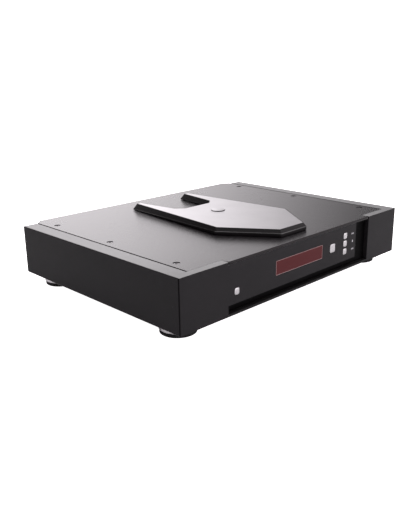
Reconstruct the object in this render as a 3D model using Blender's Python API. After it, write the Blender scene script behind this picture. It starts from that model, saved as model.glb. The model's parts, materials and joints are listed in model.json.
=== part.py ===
"""Top-loading compact disc player: a full-width case of aluminium plates with a hinged lid.

Metres, +Z up, front towards -Y. The origin is the centre of the footprint, on the surface that
the four feet stand on. Everything is symmetric about X = 0 except the front controls and sockets.
"""

import math

import bmesh
import bpy
from mathutils import Matrix, Vector

# Case
CASE_WIDTH = 0.432
CASE_HEIGHT = 0.0651
FOOT_HEIGHT = 0.0144
PANEL_TO_COVER_REAR = 0.3235
PANEL_TO_CHEEK_REAR = 0.3129
BUTTON_PROUD = 0.001
PLATE = 0.003
GAP = 0.0003
PANEL_DEPTH = 0.0107
CORNER_RADIUS = 0.001
UPRIGHT_RADIUS = 0.002
GROOVE_X = 0.1945
GROOVE_WIDTH = 0.0022

HALF_WIDTH = CASE_WIDTH / 2
BOTTOM = FOOT_HEIGHT
TOP = BOTTOM + CASE_HEIGHT
FRONT = BUTTON_PROUD - (PANEL_TO_COVER_REAR + BUTTON_PROUD) / 2
REAR = FRONT + PANEL_TO_COVER_REAR
PANEL_BACK = FRONT + PANEL_DEPTH
CHEEK_REAR = FRONT + PANEL_TO_CHEEK_REAR
COVER_HALF = GROOVE_X - GROOVE_WIDTH / 2
CHEEK_INNER = GROOVE_X + GROOVE_WIDTH / 2
COVER_UNDER = TOP - PLATE
FLOOR_TOP = BOTTOM + PLATE
COVER_CHAMFER = 0.009
NOSE_CORNER = 0.0045
COVER_NOSE = 0.0016

# Cheeks: C-shaped side extrusions with a ledge for the cover and one for the base plate
CHEEK_WALL = 0.004
LEDGE_INNER = 0.175

# Front panel: an L-shaped black recess wraps the fascia from below and from the right
TONGUE_LEFT = -0.142
TONGUE_RIGHT = 0.1434
SLOT_LEFT = 0.112
FASCIA_BOTTOM = BOTTOM + 0.0134
RECESS_DEPTH = 0.0075
LINER = 0.0015
DISPLAY_X = -0.012
DISPLAY_Z = BOTTOM + 0.03785
DISPLAY_WIDTH = 0.094
DISPLAY_HEIGHT = 0.0183

# Buttons: name, X, Z, width, height
BUTTONS = (
    ("power_button", -0.1280, BOTTOM + 0.0278, 0.0076, 0.0081),
    ("play_button", 0.0576, BOTTOM + 0.0377, 0.0108, 0.0115),
    ("next_button", 0.0867, BOTTOM + 0.0486, 0.0078, 0.0083),
    ("stop_button", 0.0867, BOTTOM + 0.0378, 0.0078, 0.0083),
    ("previous_button", 0.0867, BOTTOM + 0.0267, 0.0078, 0.0083),
)
BUTTON_CORNER = 0.0024
BUTTON_TRAVEL = 0.001
SWITCH_FACE = PANEL_BACK + GAP + 0.001 + BUTTON_TRAVEL + 0.00025

# Feet and cover screws
FOOT_X = 0.184
FOOT_Y = (-0.12275, 0.11725)
FOOT_RADIUS = 0.0225
PAD_RADIUS = 0.0217
PAD_HEIGHT = 0.0049
SCREW_X = 0.1823
SCREW_Y = (-0.12075, 0.00125, 0.12075)

# Lid: a tapered shield with two rear arms, hinged at the arms' ends
LID_TOP = TOP + 0.010
LID_UNDER = TOP + 0.0005
LID_SKIRT = 0.0045
LID_RIM = 0.0003
LID_PLATE = 0.0012
ARM_REACH = 0.00345
HINGE_Y = 0.115
HINGE_Z = TOP + 0.0023
KNUCKLE_RADIUS = 0.0019
PIN_RADIUS = 0.0009
BORE_RADIUS = 0.0011
HINGE_X = 0.0476
MIDDLE_KNUCKLE = 0.0024
BADGE_Y = -0.00675
BADGE_RADIUS = 0.0095
BADGE_RISE = 0.0009

# Disc drive, measured from the spindle
SPINDLE_Y = -0.05475
WELL_RADIUS = 0.063
WELL_FLOOR = TOP - 0.0135
DISC_SEAT = WELL_FLOOR + 0.0054
HUB_RADIUS = 0.0145
NOSE_RADIUS = 0.0073
CHASSIS_TOP = WELL_FLOOR - 0.0115
LENS_Y = SPINDLE_Y + 0.024
RAIL_X = 0.016
RAIL_Z = CHASSIS_TOP + 0.004
SCREW_AXIS_X = 0.026
SCREW_AXIS_Z = CHASSIS_TOP + 0.0036
MOUNT_X = 0.042
MOUNT_Y = (SPINDLE_Y - 0.022, SPINDLE_Y + 0.080)
PILLAR_TOP = CHASSIS_TOP - 0.0085

# Rear panel and its sockets
REAR_FACE = 0.14525
REAR_SHEET = 0.002
SOCKET_Z = BOTTOM + 0.033
INLET_X = -0.150
PHONO_SOCKETS = (("left_phono_socket", 0.118), ("right_phono_socket", 0.138), ("coaxial_socket", 0.070))
OPTICAL_X = 0.040

# Boards
BOARD = 0.0016
BOARD_Z = BOTTOM + 0.0096
MAIN_BOARD = (-0.060, 0.168, 0.045, 0.138)
POWER_BOARD = (-0.170, -0.070, 0.030, 0.135)
TRANSFORMER = (-0.130, -0.040)
CAPACITORS = (("left_capacitor", -0.100, 0.060), ("right_capacitor", -0.100, 0.088))


# ------------------------------------------------------------------ outlines

def arc(centre_u, centre_v, radius, start, end, steps):
    """Points from start to end degrees about a centre."""
    angles = [math.radians(start + (end - start) * step / steps) for step in range(steps + 1)]
    return [(centre_u + radius * math.cos(a), centre_v + radius * math.sin(a)) for a in angles]


def circle(centre_u, centre_v, radius, steps):
    return arc(centre_u, centre_v, radius, 0, 360, steps)[:-1]


def rectangle(u_low, u_high, v_low, v_high):
    return [(u_low, v_low), (u_high, v_low), (u_high, v_high), (u_low, v_high)]


def rounded(centre_u, centre_v, width, height, radius, steps=3):
    """A rectangle with round corners, about its centre."""
    points = []
    for sign_u, sign_v, start in ((1, 1, 0), (-1, 1, 90), (-1, -1, 180), (1, -1, 270)):
        corner_u = centre_u + sign_u * (width / 2 - radius)
        corner_v = centre_v + sign_v * (height / 2 - radius)
        points += arc(corner_u, corner_v, radius, start, start + 90, steps)
    return points


def mirrored(outline):
    """The same outline on the other side of X = 0."""
    return [(-u, v) for u, v in reversed(outline)]


def offset(outline, distance):
    """A counter-clockwise outline, grown outwards with mitred corners."""
    grown = []
    count = len(outline)
    for index in range(count):
        before = Vector(outline[index]) - Vector(outline[index - 1])
        after = Vector(outline[(index + 1) % count]) - Vector(outline[index])
        normal_before = Vector((before.y, -before.x)).normalized()
        normal_after = Vector((after.y, -after.x)).normalized()
        mitre = (normal_before + normal_after) / (1 + normal_before.dot(normal_after))
        grown.append((outline[index][0] + mitre.x * distance, outline[index][1] + mitre.y * distance))
    return grown


def lid_outline(reach=0.0):
    """The silver top of the lid, counter-clockwise from above: shield front, notch between two arms.

    reach lengthens the arms along their own sides.
    """
    right = [
        (0.0232, -0.13715),
        (0.0686, -0.07135),
        (0.0506 - 0.099 * reach, 0.11025 + reach),
        (0.0446 + 0.132 * reach, 0.11025 + reach),
        (0.0360, 0.04525),
        (0.0240, 0.03475),
    ]
    return right + mirrored(right)


# ------------------------------------------------------------------ shapes

def along(axis, u, v, w):
    """The point with section coordinates u, v at the distance w along an axis."""
    return {"X": (w, u, v), "Y": (u, w, v), "Z": (u, v, w)}[axis]


def prism(outline, axis, low, high):
    """An outline extruded along an axis. The outline is in the other two axes, in X, Y, Z order."""
    shape = bmesh.new()
    face = shape.faces.new([shape.verts.new(along(axis, u, v, low)) for u, v in outline])
    grown = bmesh.ops.extrude_face_region(shape, geom=[face])["geom"]
    moved = [item for item in grown if isinstance(item, bmesh.types.BMVert)]
    bmesh.ops.translate(shape, verts=moved, vec=along(axis, 0, 0, high - low))
    bmesh.ops.recalc_face_normals(shape, faces=shape.faces)
    return shape


def block(x_low, x_high, y_low, y_high, z_low, z_high):
    return prism(rectangle(x_low, x_high, y_low, y_high), "Z", z_low, z_high)


def turned(profile, centre, axis="Z", steps=24):
    """A (radius, height) profile spun about an axis through the centre. One off the axis is a ring."""
    shape = bmesh.new()
    points = [shape.verts.new((radius, 0, height)) for radius, height in profile]
    edges = [shape.edges.new(pair) for pair in zip(points, points[1:])]
    if profile[0][0] > 0:
        edges.append(shape.edges.new((points[-1], points[0])))
    bmesh.ops.spin(shape, geom=points + edges, cent=(0, 0, 0), axis=(0, 0, 1), angle=math.tau, steps=steps)
    bmesh.ops.remove_doubles(shape, verts=shape.verts, dist=1e-6)
    turn = {"X": Matrix.Rotation(math.pi / 2, 4, "Y"), "Y": Matrix.Rotation(-math.pi / 2, 4, "X"),
            "Z": Matrix.Identity(4)}[axis]
    bmesh.ops.transform(shape, matrix=Matrix.Translation(centre) @ turn, verts=shape.verts)
    bmesh.ops.recalc_face_normals(shape, faces=shape.faces)
    return shape


def rod(radius, centre_u, centre_v, axis, low, high, steps=16):
    return prism(circle(centre_u, centre_v, radius, steps), axis, low, high)


def loft(rings):
    """A closed body through rings of equal length, each a list of (x, y, z), from bottom to top."""
    shape = bmesh.new()
    loops = [[shape.verts.new(point) for point in ring] for ring in rings]
    shape.faces.new(loops[0])
    shape.faces.new(loops[-1])
    for lower, upper in zip(loops, loops[1:]):
        for index in range(len(lower)):
            shape.faces.new((lower[index - 1], lower[index], upper[index], upper[index - 1]))
    bmesh.ops.recalc_face_normals(shape, faces=shape.faces)
    return shape


# ------------------------------------------------------------------ objects

def material(name, colour, roughness, metallic):
    made = bpy.data.materials.new(name)
    made.use_nodes = True
    shader = made.node_tree.nodes["Principled BSDF"]
    shader.inputs["Base Color"].default_value = (*colour, 1)
    shader.inputs["Roughness"].default_value = roughness
    shader.inputs["Metallic"].default_value = metallic
    return made


def finishes():
    return {
        "case": material("case_anodised", (0.05, 0.05, 0.053), 0.42, 0.85),
        "liner": material("liner_gloss_black", (0.008, 0.008, 0.009), 0.25, 0),
        "display": material("display_red", (0.16, 0.015, 0.02), 0.12, 0),
        "lid_black": material("lid_black", (0.018, 0.018, 0.019), 0.38, 0),
        "silver": material("silver_anodised", (0.82, 0.81, 0.82), 0.3, 1),
        "steel": material("bright_steel", (0.6, 0.6, 0.62), 0.3, 1),
        "rubber": material("black_rubber", (0.012, 0.012, 0.012), 0.75, 0),
        "plastic": material("black_plastic", (0.015, 0.015, 0.016), 0.5, 0),
        "board": material("green_board", (0.01, 0.12, 0.05), 0.5, 0),
        "gold": material("gold_plate", (0.9, 0.62, 0.22), 0.25, 1),
        "winding": material("transformer_wrap", (0.55, 0.42, 0.08), 0.4, 0),
        "glass": material("lens_glass", (0.25, 0.3, 0.4), 0.05, 0),
    }


def solid(name, shape, finish=None, pivot=(0, 0, 0), smooth=False):
    """One object from one shape. The pivot is the object's own origin."""
    mesh = bpy.data.meshes.new(name)
    shape.to_mesh(mesh)
    shape.free()
    mesh.transform(Matrix.Translation(-Vector(pivot)))
    if finish:
        mesh.materials.append(finish)
    if smooth:
        mesh.shade_smooth()
        mesh.set_sharp_from_angle(angle=math.radians(35))
    made = bpy.data.objects.new(name, mesh)
    made.location = pivot
    bpy.context.scene.collection.objects.link(made)
    return made


def tool(name, *shapes):
    """A hidden helper that holds one or more shapes, for cutting or for joining."""
    joined = bmesh.new()
    for shape in shapes:
        carrier = bpy.data.meshes.new(name + "_piece")
        shape.to_mesh(carrier)
        shape.free()
        joined.from_mesh(carrier)
    made = solid(name, joined)
    made.hide_render = True
    made.display_type = "WIRE"
    return made


def cut(target, *shapes):
    change = target.modifiers.new("Cut", "BOOLEAN")
    change.operation = "DIFFERENCE"
    change.object = tool(target.name + "_cutter", *shapes)


def join(target, *shapes):
    change = target.modifiers.new("Join", "BOOLEAN")
    change.operation = "UNION"
    change.object = tool(target.name + "_addition", *shapes)


def soften(target, width, segments=1):
    edge = target.modifiers.new("Soft edges", "BEVEL")
    edge.width = width
    edge.segments = segments
    edge.limit_method = "ANGLE"
    edge.angle_limit = math.radians(50)


# ------------------------------------------------------------------ case

def cheek_section():
    """Section of the right cheek, as (x, z)."""
    corner = HALF_WIDTH - CORNER_RADIUS
    return [
        (CHEEK_INNER, TOP),
        (CHEEK_INNER, COVER_UNDER - GAP),
        (LEDGE_INNER, COVER_UNDER - GAP),
        (LEDGE_INNER, COVER_UNDER - GAP - PLATE),
        (HALF_WIDTH - CHEEK_WALL, COVER_UNDER - GAP - PLATE),
        (HALF_WIDTH - CHEEK_WALL, FLOOR_TOP + GAP + PLATE),
        (LEDGE_INNER, FLOOR_TOP + GAP + PLATE),
        (LEDGE_INNER, FLOOR_TOP + GAP),
        (CHEEK_INNER, FLOOR_TOP + GAP),
        (CHEEK_INNER, BOTTOM),
        *arc(corner, BOTTOM + CORNER_RADIUS, CORNER_RADIUS, -90, 0, 4),
        *arc(corner, TOP - CORNER_RADIUS, CORNER_RADIUS, 0, 90, 4),
    ]


def make_cheeks(finish):
    for name, section, side in (
        ("left_cheek", mirrored(cheek_section()), -1),
        ("right_cheek", cheek_section(), 1),
    ):
        cheek = solid(name, prism(section, "Y", PANEL_BACK + GAP, CHEEK_REAR), finish["case"])
        ledge = (COVER_UNDER - 2 * PLATE, COVER_UNDER + PLATE)
        cut(cheek, *[rod(0.0018, side * SCREW_X, y, "Z", *ledge, steps=12) for y in SCREW_Y])


def make_front_panel(finish):
    corner = HALF_WIDTH - CORNER_RADIUS
    outline = [
        (TONGUE_LEFT, BOTTOM),
        (TONGUE_LEFT, FLOOR_TOP + GAP),
        (TONGUE_RIGHT, FLOOR_TOP + GAP),
        (TONGUE_RIGHT, BOTTOM),
        *arc(corner, BOTTOM + CORNER_RADIUS, CORNER_RADIUS, -90, 0, 4),
        *arc(corner, TOP - CORNER_RADIUS, CORNER_RADIUS, 0, 90, 4),
        (TONGUE_RIGHT, TOP),
        (TONGUE_RIGHT, COVER_UNDER - GAP),
        (TONGUE_LEFT, COVER_UNDER - GAP),
        (TONGUE_LEFT, TOP),
        *arc(-corner, TOP - CORNER_RADIUS, CORNER_RADIUS, 90, 180, 4),
        *arc(-corner, BOTTOM + CORNER_RADIUS, CORNER_RADIUS, 180, 270, 4),
    ]
    panel = solid("front_panel", prism(outline, "Y", FRONT, PANEL_BACK), finish["case"])
    soften(panel, 0.0006)
    recess = [
        (TONGUE_LEFT, BOTTOM),
        (TONGUE_RIGHT, BOTTOM),
        (TONGUE_RIGHT, TOP),
        (SLOT_LEFT, TOP),
        (SLOT_LEFT, FASCIA_BOTTOM),
        (TONGUE_LEFT, FASCIA_BOTTOM),
    ]
    cut(panel, prism(recess, "Y", FRONT - PLATE, FRONT + RECESS_DEPTH))
    waste = [
        *arc(HALF_WIDTH - UPRIGHT_RADIUS, FRONT + UPRIGHT_RADIUS, UPRIGHT_RADIUS, 0, -90, 5),
        (HALF_WIDTH - UPRIGHT_RADIUS, FRONT - PLATE),
        (HALF_WIDTH + PLATE, FRONT - PLATE),
        (HALF_WIDTH + PLATE, FRONT + UPRIGHT_RADIUS),
    ]
    cut(panel, *[prism(side, "Z", BOTTOM - PLATE, TOP + PLATE) for side in (waste, mirrored(waste))])
    window = rounded(DISPLAY_X, DISPLAY_Z, DISPLAY_WIDTH + 2 * GAP, DISPLAY_HEIGHT + 2 * GAP, 0.0008, 2)
    holes = [prism(window, "Y", FRONT - PLATE, PANEL_BACK + PLATE)]
    for _, x, z, width, height in BUTTONS:
        hole = rounded(x, z, width + 2 * GAP, height + 2 * GAP, BUTTON_CORNER)
        holes.append(prism(hole, "Y", FRONT - PLATE, PANEL_BACK + PLATE))
    cut(panel, *holes)


def make_recess_liner(finish):
    outline = [
        (TONGUE_LEFT + GAP, FLOOR_TOP + 2 * GAP),
        (TONGUE_RIGHT - GAP, FLOOR_TOP + 2 * GAP),
        (TONGUE_RIGHT - GAP, COVER_UNDER - 2 * GAP),
        (SLOT_LEFT + GAP, COVER_UNDER - 2 * GAP),
        (SLOT_LEFT + GAP, FASCIA_BOTTOM - GAP),
        (TONGUE_LEFT + GAP, FASCIA_BOTTOM - GAP),
    ]
    back = FRONT + RECESS_DEPTH - GAP
    solid("recess_liner", prism(outline, "Y", back - LINER, back), finish["liner"])


def plate_outline(half, rear, rear_chamfer, corner):
    """A plate whose front tongue reaches between the front panel's two corner blocks."""
    left = TONGUE_LEFT + GAP
    right = TONGUE_RIGHT - GAP
    return [
        *arc(left + corner, FRONT + corner, corner, 180, 270, 4),
        *arc(right - corner, FRONT + corner, corner, -90, 0, 4),
        (right, PANEL_BACK + GAP),
        (half, PANEL_BACK + GAP),
        (half, rear - rear_chamfer),
        (half - rear_chamfer, rear),
        (rear_chamfer - half, rear),
        (-half, rear - rear_chamfer),
        (-half, PANEL_BACK + GAP),
        (left, PANEL_BACK + GAP),
    ]


def make_top_cover(finish):
    shape = prism(plate_outline(COVER_HALF, REAR, COVER_CHAMFER, NOSE_CORNER), "Z", COVER_UNDER, TOP)
    nose = [
        edge for edge in shape.edges
        if all(vert.co.z > TOP - GAP and vert.co.y < FRONT + NOSE_CORNER + GAP for vert in edge.verts)
    ]
    bmesh.ops.bevel(shape, geom=nose, offset=COVER_NOSE, segments=3, profile=0.5, affect="EDGES")
    cover = solid("top_cover", shape, finish["case"])
    slots = [
        block(
            side * HINGE_X - MIDDLE_KNUCKLE - 2 * GAP, side * HINGE_X + MIDDLE_KNUCKLE + 2 * GAP,
            HINGE_Y - 0.0017, HINGE_Y + 0.0017, COVER_UNDER - PLATE, TOP + PLATE,
        )
        for side in (-1, 1)
    ]
    cut(cover, rod(WELL_RADIUS, 0, SPINDLE_Y, "Z", COVER_UNDER - PLATE, TOP + PLATE, steps=56), *slots)
    sink = [
        (0, -0.004), (0.0023, -0.004), (0.0023, -0.0019), (0.0041, -0.0001),
        (0.0041, PLATE), (0, PLATE),
    ]
    cut(cover, *[turned(sink, (side * SCREW_X, y, TOP), steps=16) for side in (-1, 1) for y in SCREW_Y])


def make_cover_screws(finish):
    head_top = TOP - 0.0002
    socket = 0.0014
    profile = [
        (0, -0.0058), (0.0014, -0.0058), (0.0018, -0.0019), (0.0037, 0),
        (socket, 0), (socket, -0.0012), (0, -0.0012),
    ]
    for side, side_name in ((-1, "left"), (1, "right")):
        for y, place in zip(SCREW_Y, ("front", "middle", "rear")):
            name = f"{side_name}_{place}_cover_screw"
            centre = (side * SCREW_X, y, head_top)
            solid(name, turned(profile, centre, steps=12), finish["steel"], smooth=True)


def make_base_plate(finish):
    outline = plate_outline(COVER_HALF, CHEEK_REAR, PLATE, GAP)
    plate = solid("base_plate", prism(outline, "Z", BOTTOM, FLOOR_TOP), finish["case"])
    pillars = [
        rod(0.004, side * MOUNT_X, y, "Z", BOTTOM + PLATE / 2, PILLAR_TOP, steps=12)
        for side in (-1, 1) for y in MOUNT_Y
    ]
    for left, right, front, rear in (MAIN_BOARD, POWER_BOARD):
        inset = 0.006
        pillars += [
            rod(0.0025, x, y, "Z", BOTTOM + PLATE / 2, BOARD_Z - GAP, steps=8)
            for x in (left + inset, right - inset) for y in (front + inset, rear - inset)
        ]
    join(plate, *pillars)
    vents = [
        block(x - 0.0015, x + 0.0015, -0.115, -0.090, BOTTOM - PLATE, FLOOR_TOP + PLATE)
        for x in (-0.15 + 0.010 * index for index in range(6))
    ]
    cut(plate, *vents)


def make_rear_panel(finish):
    wide = HALF_WIDTH - CHEEK_WALL - GAP
    narrow = LEDGE_INNER - GAP
    low, high = FLOOR_TOP + GAP, COVER_UNDER - GAP
    step = PLATE + GAP
    outline = [
        (-narrow, low), (narrow, low), (narrow, low + step), (wide, low + step),
        (wide, high - step), (narrow, high - step), (narrow, high), (-narrow, high),
        (-narrow, high - step), (-wide, high - step), (-wide, low + step), (-narrow, low + step),
    ]
    panel = solid("rear_panel", prism(outline, "Y", REAR_FACE - REAR_SHEET, REAR_FACE), finish["case"])
    through = (REAR_FACE - 2 * REAR_SHEET, REAR_FACE + REAR_SHEET)
    inlet = rounded(INLET_X, SOCKET_Z, 0.0280, 0.0206, 0.001, 2)
    optical = rectangle(OPTICAL_X - 0.0051, OPTICAL_X + 0.0051, SOCKET_Z - 0.0051, SOCKET_Z + 0.0051)
    cut(
        panel,
        prism(inlet, "Y", *through),
        prism(optical, "Y", *through),
        *[rod(0.004, x, SOCKET_Z, "Y", *through) for _, x in PHONO_SOCKETS],
    )


def make_feet(finish):
    ring = [
        (0.012, PAD_HEIGHT), (FOOT_RADIUS - 0.0009, PAD_HEIGHT), (FOOT_RADIUS - 0.0005, PAD_HEIGHT + 0.0004),
        (FOOT_RADIUS, BOTTOM - GAP - 0.0005), (FOOT_RADIUS - 0.0005, BOTTOM - GAP), (0.012, BOTTOM - GAP),
    ]
    pad = [
        (0, 0), (PAD_RADIUS - 0.0015, 0), (PAD_RADIUS - 0.0004, 0.0008), (PAD_RADIUS, PAD_HEIGHT - GAP),
        (0.0117, PAD_HEIGHT - GAP), (0.0117, 0.010), (0, 0.010),
    ]
    for side, side_name in ((-1, "left"), (1, "right")):
        for y, place in zip(FOOT_Y, ("front", "rear")):
            centre = (side * FOOT_X, y, 0)
            foot = f"{place}_{side_name}_foot"
            solid(foot + "_ring", turned(ring, centre, steps=32), finish["silver"], smooth=True)
            solid(foot + "_pad", turned(pad, centre, steps=32), finish["rubber"], smooth=True)


# ------------------------------------------------------------------ front controls

def make_display(finish):
    window = rounded(DISPLAY_X, DISPLAY_Z, DISPLAY_WIDTH, DISPLAY_HEIGHT, 0.0006, 2)
    solid("display_window", prism(window, "Y", FRONT + 0.0001, FRONT + 0.0026), finish["display"])
    module = block(
        DISPLAY_X - 0.0455, DISPLAY_X + 0.0455, FRONT + 0.0032, FRONT + 0.0095,
        DISPLAY_Z - 0.0082, DISPLAY_Z + 0.0082,
    )
    solid("display_module", module, finish["glass"])


def make_buttons(finish):
    flange_front = PANEL_BACK + GAP
    for name, x, z, width, height in BUTTONS:
        pivot = (x, FRONT, z)
        cap = rounded(x, z, width, height, BUTTON_CORNER)
        shape = prism(cap, "Y", FRONT - BUTTON_PROUD, flange_front + GAP)
        button = solid(name, shape, finish["silver"], pivot)
        soften(button, 0.0003)
        flange = rounded(x, z, width + 0.0024, height + 0.0020, BUTTON_CORNER)
        join(button, prism(flange, "Y", flange_front, flange_front + 0.001))


def make_front_board(finish):
    board_front = SWITCH_FACE + 0.004
    board = solid(
        "front_board",
        block(-0.138, 0.110, board_front, board_front + BOARD, BOTTOM + 0.019, BOTTOM + 0.059),
        finish["board"],
    )
    join(board, *[
        block(x - 0.003, x + 0.003, SWITCH_FACE, board_front + BOARD / 2, z - 0.003, z + 0.003)
        for _, x, z, _, _ in BUTTONS
    ])


# ------------------------------------------------------------------ lid

def bend_height(y):
    """The skirt's bend line is high at the front and falls towards the arms' ends."""
    front, rear = -0.1417, 0.1148
    share = (y - front) / (rear - front)
    return TOP + 0.0053 + (0.0012 - 0.0053) * share ** 2


def make_lid_body(finish, hinge):
    rim = offset(lid_outline(), 2 * LID_RIM)
    skirt = offset(lid_outline(ARM_REACH), LID_SKIRT)
    rings = [
        [(x, y, LID_UNDER) for x, y in skirt],
        [(x, y, bend_height(y)) for x, y in skirt],
        [(x, y, LID_TOP) for x, y in rim],
    ]
    lid = solid("lid_body", loft(rings), finish["lid_black"], hinge)
    sides = (-1, 1)
    seat = prism(offset(lid_outline(), LID_RIM), "Z", LID_TOP - LID_PLATE - GAP, LID_TOP + PLATE)
    recess = rod(0.060, 0, SPINDLE_Y, "Z", LID_UNDER - PLATE, LID_UNDER + 0.0045, steps=48)
    heel = [
        *arc(HINGE_Y, HINGE_Z, KNUCKLE_RADIUS, -90, 20, 8),
        (HINGE_Y + 0.006, HINGE_Z + 0.0007),
        (HINGE_Y + 0.006, HINGE_Z - 0.004),
        (HINGE_Y, HINGE_Z - 0.004),
    ]
    clear = KNUCKLE_RADIUS + 2 * GAP
    knuckle_gap = [
        *arc(HINGE_Y, HINGE_Z, clear, 90, 270, 8),
        (HINGE_Y + 0.010, HINGE_Z - clear),
        (HINGE_Y + 0.010, HINGE_Z + clear),
    ]
    half_gap = MIDDLE_KNUCKLE + GAP
    gaps = [
        prism(knuckle_gap, "X", side * HINGE_X - half_gap, side * HINGE_X + half_gap) for side in sides
    ]
    cut(lid, seat, recess, *gaps)
    cut(lid, prism(heel, "X", -0.06, 0.06))
    cut(lid, *[
        rod(BORE_RADIUS, HINGE_Y, HINGE_Z, "X", side * HINGE_X - 0.0056, side * HINGE_X + 0.0056, 12)
        for side in sides
    ])


def make_lid_plate(finish, hinge):
    shape = prism(lid_outline(), "Z", LID_TOP - LID_PLATE, LID_TOP)
    plate = solid("lid_plate", shape, finish["silver"], hinge)
    cut(plate, rod(BADGE_RADIUS + GAP, 0, BADGE_Y, "Z", LID_TOP - 0.0008, LID_TOP + PLATE, steps=24))
    badge = turned(
        [(0, -0.0005), (BADGE_RADIUS, -0.0005), (BADGE_RADIUS, BADGE_RISE - 0.0002),
         (BADGE_RADIUS - 0.0004, BADGE_RISE), (0, BADGE_RISE)],
        (0, BADGE_Y, LID_TOP),
    )
    solid("lid_badge", badge, finish["steel"], hinge, smooth=True)


def make_hinges(finish):
    for side, side_name in ((-1, "left"), (1, "right")):
        x = side * HINGE_X
        low, high = x - MIDDLE_KNUCKLE, x + MIDDLE_KNUCKLE
        foot_top = COVER_UNDER - GAP
        stem = 0.0011
        bracket = solid(
            f"{side_name}_hinge_bracket",
            block(x - 0.009, x + 0.009, HINGE_Y - 0.012, HINGE_Y + 0.012, foot_top - 0.002, foot_top),
            finish["steel"],
        )
        join(bracket, block(low, high, HINGE_Y - stem, HINGE_Y + stem, foot_top - 0.001, HINGE_Z))
        join(bracket, rod(KNUCKLE_RADIUS, HINGE_Y, HINGE_Z, "X", low, high, 16))
        cut(bracket, rod(BORE_RADIUS, HINGE_Y, HINGE_Z, "X", low - PLATE, high + PLATE, 12))
        pin = rod(PIN_RADIUS, HINGE_Y, HINGE_Z, "X", x - 0.0053, x + 0.0053, 12)
        solid(f"{side_name}_hinge_pin", pin, finish["steel"], (x, HINGE_Y, HINGE_Z), smooth=True)


# ------------------------------------------------------------------ disc drive

def make_drive_deck(finish):
    under = WELL_FLOOR - 0.002
    flange = COVER_UNDER - GAP
    profile = [
        (0.017, under), (WELL_RADIUS + 0.002, under), (WELL_RADIUS + 0.002, flange - 0.002),
        (WELL_RADIUS + 0.007, flange - 0.002), (WELL_RADIUS + 0.007, flange), (WELL_RADIUS, flange),
        (WELL_RADIUS, WELL_FLOOR), (0.017, WELL_FLOOR),
    ]
    deck = solid("drive_deck", turned(profile, (0, SPINDLE_Y, 0), steps=56), finish["plastic"], smooth=True)
    cut(deck, block(
        -0.007, 0.007, SPINDLE_Y + 0.010, SPINDLE_Y + 0.0665, under - PLATE, WELL_FLOOR + 0.0045,
    ))


def make_chassis(finish):
    plate = solid(
        "mechanism_chassis",
        block(-0.050, 0.050, SPINDLE_Y - 0.030, SPINDLE_Y + 0.096, CHASSIS_TOP - 0.002, CHASSIS_TOP),
        finish["steel"],
    )
    join(plate, *[
        block(x - 0.002, x + 0.002, SPINDLE_Y + low, SPINDLE_Y + low + 0.0025,
              CHASSIS_TOP - 0.001, RAIL_Z - 0.0015 - GAP)
        for x in (-RAIL_X, RAIL_X) for low in (0.0105, 0.078)
    ])
    through = (CHASSIS_TOP - 0.004, CHASSIS_TOP + 0.001)
    cut(
        plate,
        rod(0.0124, 0, SPINDLE_Y, "Z", *through, steps=24),
        block(SCREW_AXIS_X - 0.0065, SCREW_AXIS_X + 0.0065, SPINDLE_Y + 0.085, SPINDLE_Y + 0.110, *through),
        *[rod(0.0032, side * MOUNT_X, y, "Z", *through, steps=12) for side in (-1, 1) for y in MOUNT_Y],
    )


def make_isolation_mounts(finish):
    profile = [
        (0, PILLAR_TOP + GAP), (0.006, PILLAR_TOP + GAP), (0.006, CHASSIS_TOP - 0.002 - GAP),
        (0.0029, CHASSIS_TOP - 0.002 - GAP), (0.0029, CHASSIS_TOP + GAP), (0.006, CHASSIS_TOP + GAP),
        (0.005, CHASSIS_TOP + 0.0025), (0, CHASSIS_TOP + 0.0025),
    ]
    for side, side_name in ((-1, "left"), (1, "right")):
        for y, place in zip(MOUNT_Y, ("front", "rear")):
            mount = turned(profile, (side * MOUNT_X, y, 0), steps=12)
            solid(f"{place}_{side_name}_isolation_mount", mount, finish["rubber"], smooth=True)


def make_spindle(finish):
    motor = [
        (0, CHASSIS_TOP - 0.009), (0.012, CHASSIS_TOP - 0.009), (0.012, CHASSIS_TOP + GAP),
        (0.0136, CHASSIS_TOP + GAP), (0.0136, CHASSIS_TOP + 0.001), (0.005, CHASSIS_TOP + 0.001),
        (0.005, CHASSIS_TOP + 0.004), (0.0013, CHASSIS_TOP + 0.004), (0.0013, CHASSIS_TOP - 0.005),
        (0, CHASSIS_TOP - 0.005),
    ]
    solid("spindle_motor", turned(motor, (0, SPINDLE_Y, 0)), finish["steel"], smooth=True)
    pivot = (0, SPINDLE_Y, DISC_SEAT)
    hub = [
        (0, CHASSIS_TOP - 0.0045), (0.001, CHASSIS_TOP - 0.0045), (0.001, CHASSIS_TOP + 0.0050),
        (0.005, CHASSIS_TOP + 0.0050), (0.005, DISC_SEAT - 0.0048), (HUB_RADIUS, DISC_SEAT - 0.0028),
        (HUB_RADIUS, DISC_SEAT), (NOSE_RADIUS, DISC_SEAT), (NOSE_RADIUS, DISC_SEAT + 0.0016),
        (NOSE_RADIUS - 0.0013, DISC_SEAT + 0.0031), (0, DISC_SEAT + 0.0031),
    ]
    solid("turntable_hub", turned(hub, (0, SPINDLE_Y, 0), steps=32), finish["plastic"], pivot, smooth=True)


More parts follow.
